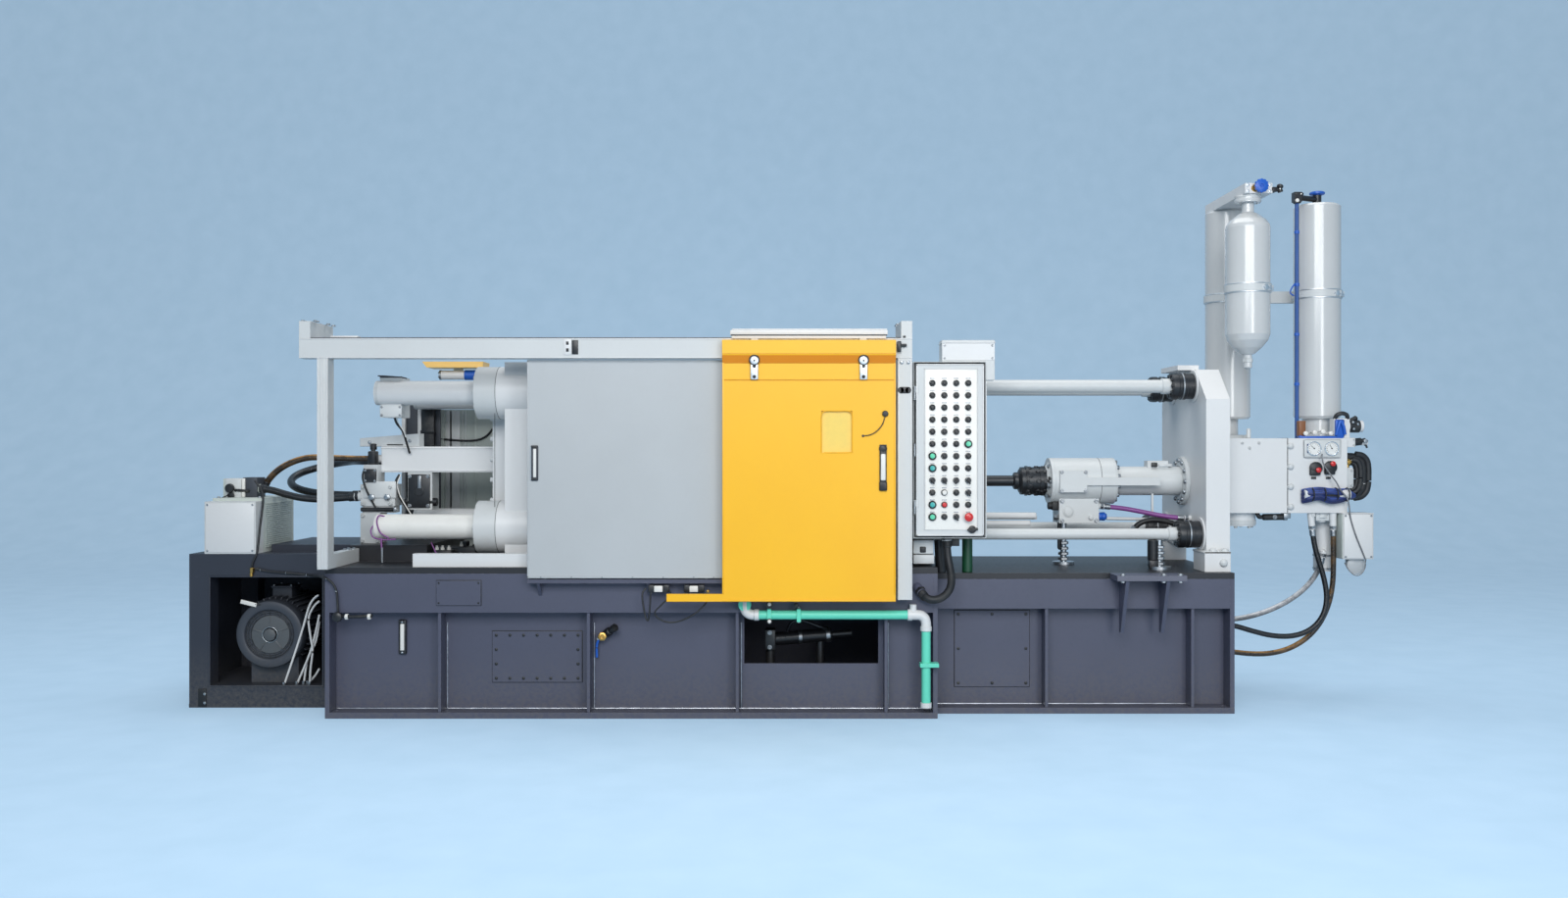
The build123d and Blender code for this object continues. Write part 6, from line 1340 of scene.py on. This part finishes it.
piece("rear_bottle_foot", "light").turned(
    [(120, 0), (126, 4), (126, 24), (110, 30)], (*REAR_BOTTLE, 1858), "z", 48).turned(
    [(12, 0), (16, 3), (16, 60), (10, 70), (0, 71)], (3300, -205, 1858), "z", 8).turned(
    [(24, 0), (26, 3), (14, 26), (0, 27)], (3305, -160, 1858), "z", 14)

for thing in PIECES:
    thing.make()


# Floor and backdrop
BACKDROP_GLOW = 0.59


def cyclorama():
    """A pale floor that rises in one curve behind the machine."""
    bm = bmesh.new()
    half_width, front, back, radius, top = 60.0, -40.0, 9.0, 6.0, 30.0
    profile = [(front, 0.0)] + [
        (back + radius * math.sin(a), radius - radius * math.cos(a))
        for a in (math.radians(90) * i / 16 for i in range(17))
    ] + [(back + radius, top)]
    rows = [[bm.verts.new((x, y, z - 0.0005)) for x in (-half_width, half_width)] for y, z in profile]
    for a, b in zip(rows, rows[1:]):
        face = bm.faces.new((a[0], a[1], b[1], b[0]))
        face.smooth = True
    mesh = bpy.data.meshes.new("cyclorama")
    bm.to_mesh(mesh)
    bm.free()
    thing = bpy.data.objects.new("cyclorama", mesh)
    n = Nodes("studio_floor")
    grain = n.noise(3.0, 4.0)
    tone = n.mix(n.spread(grain, 0.3, 0.7), linear((168, 197, 220)), linear((173, 201, 224)))
    n.set(n.shader, "Base_Color", n.mix(0.3, tone, linear((70, 84, 96))))
    n.shader.inputs["Roughness"].default_value = 0.8
    n.shader.inputs["Specular IOR Level"].default_value = 0.1
    ways = n.add("ShaderNodeLightPath").outputs
    shown = n.math("MAXIMUM", n.math("MAXIMUM", ways["Is Camera Ray"], ways["Is Glossy Ray"]),
                   ways["Is Transmission Ray"])
    n.set(n.shader, "Emission_Color", tone)
    n.set(n.shader, "Emission_Strength", n.math("MULTIPLY", shown, BACKDROP_GLOW))
    mesh.materials.append(n.material)
    scene.collection.objects.link(thing)


def area_light(name, place, target, size, power, color=(1, 1, 1)):
    data = bpy.data.lights.new(name, "AREA")
    data.shape = "RECTANGLE"
    data.size, data.size_y = size
    data.energy = power
    data.color = color
    lamp = bpy.data.objects.new(name, data)
    lamp.location = place
    lamp.rotation_euler = (Vector(target) - Vector(place)).to_track_quat("-Z", "Y").to_euler()
    scene.collection.objects.link(lamp)


def sky():
    """A dim even light that shows as the backdrop's tone where the backdrop ends."""
    world = bpy.data.worlds.new("studio")
    world.use_nodes = True
    scene.world = world
    tree = world.node_tree
    ways = tree.nodes.new("ShaderNodeLightPath").outputs
    shown = ways["Is Camera Ray"]
    for way in ("Is Glossy Ray", "Is Transmission Ray"):
        most = tree.nodes.new("ShaderNodeMath")
        most.operation = "MAXIMUM"
        tree.links.new(shown, most.inputs[0])
        tree.links.new(ways[way], most.inputs[1])
        shown = most.outputs[0]
    tone = tree.nodes.new("ShaderNodeMix")
    tone.data_type = "RGBA"
    colours = {s.name: s for s in tone.inputs if s.type == "RGBA"}
    colours["A"].default_value = [0.3 * c for c in linear((226, 234, 240))[:3]] + [1.0]
    colours["B"].default_value = linear((157, 186, 210))
    tree.links.new(shown, tone.inputs["Factor"])
    background = tree.nodes["Background"]
    tree.links.new(next(s for s in tone.outputs if s.type == "RGBA"), background.inputs["Color"])
    background.inputs["Strength"].default_value = 1.0


cyclorama()
area_light("key", (-0.8, -11.5, 6.5), (0, 0, 1.3), (7, 5), 830)
area_light("fill", (4.2, -10.5, 3.4), (1.0, 0, 1.6), (2.4, 5), 270)
area_light("top", (0.5, 1.0, 9.5), (0, 0, 1.0), (10, 5), 430)
sky()
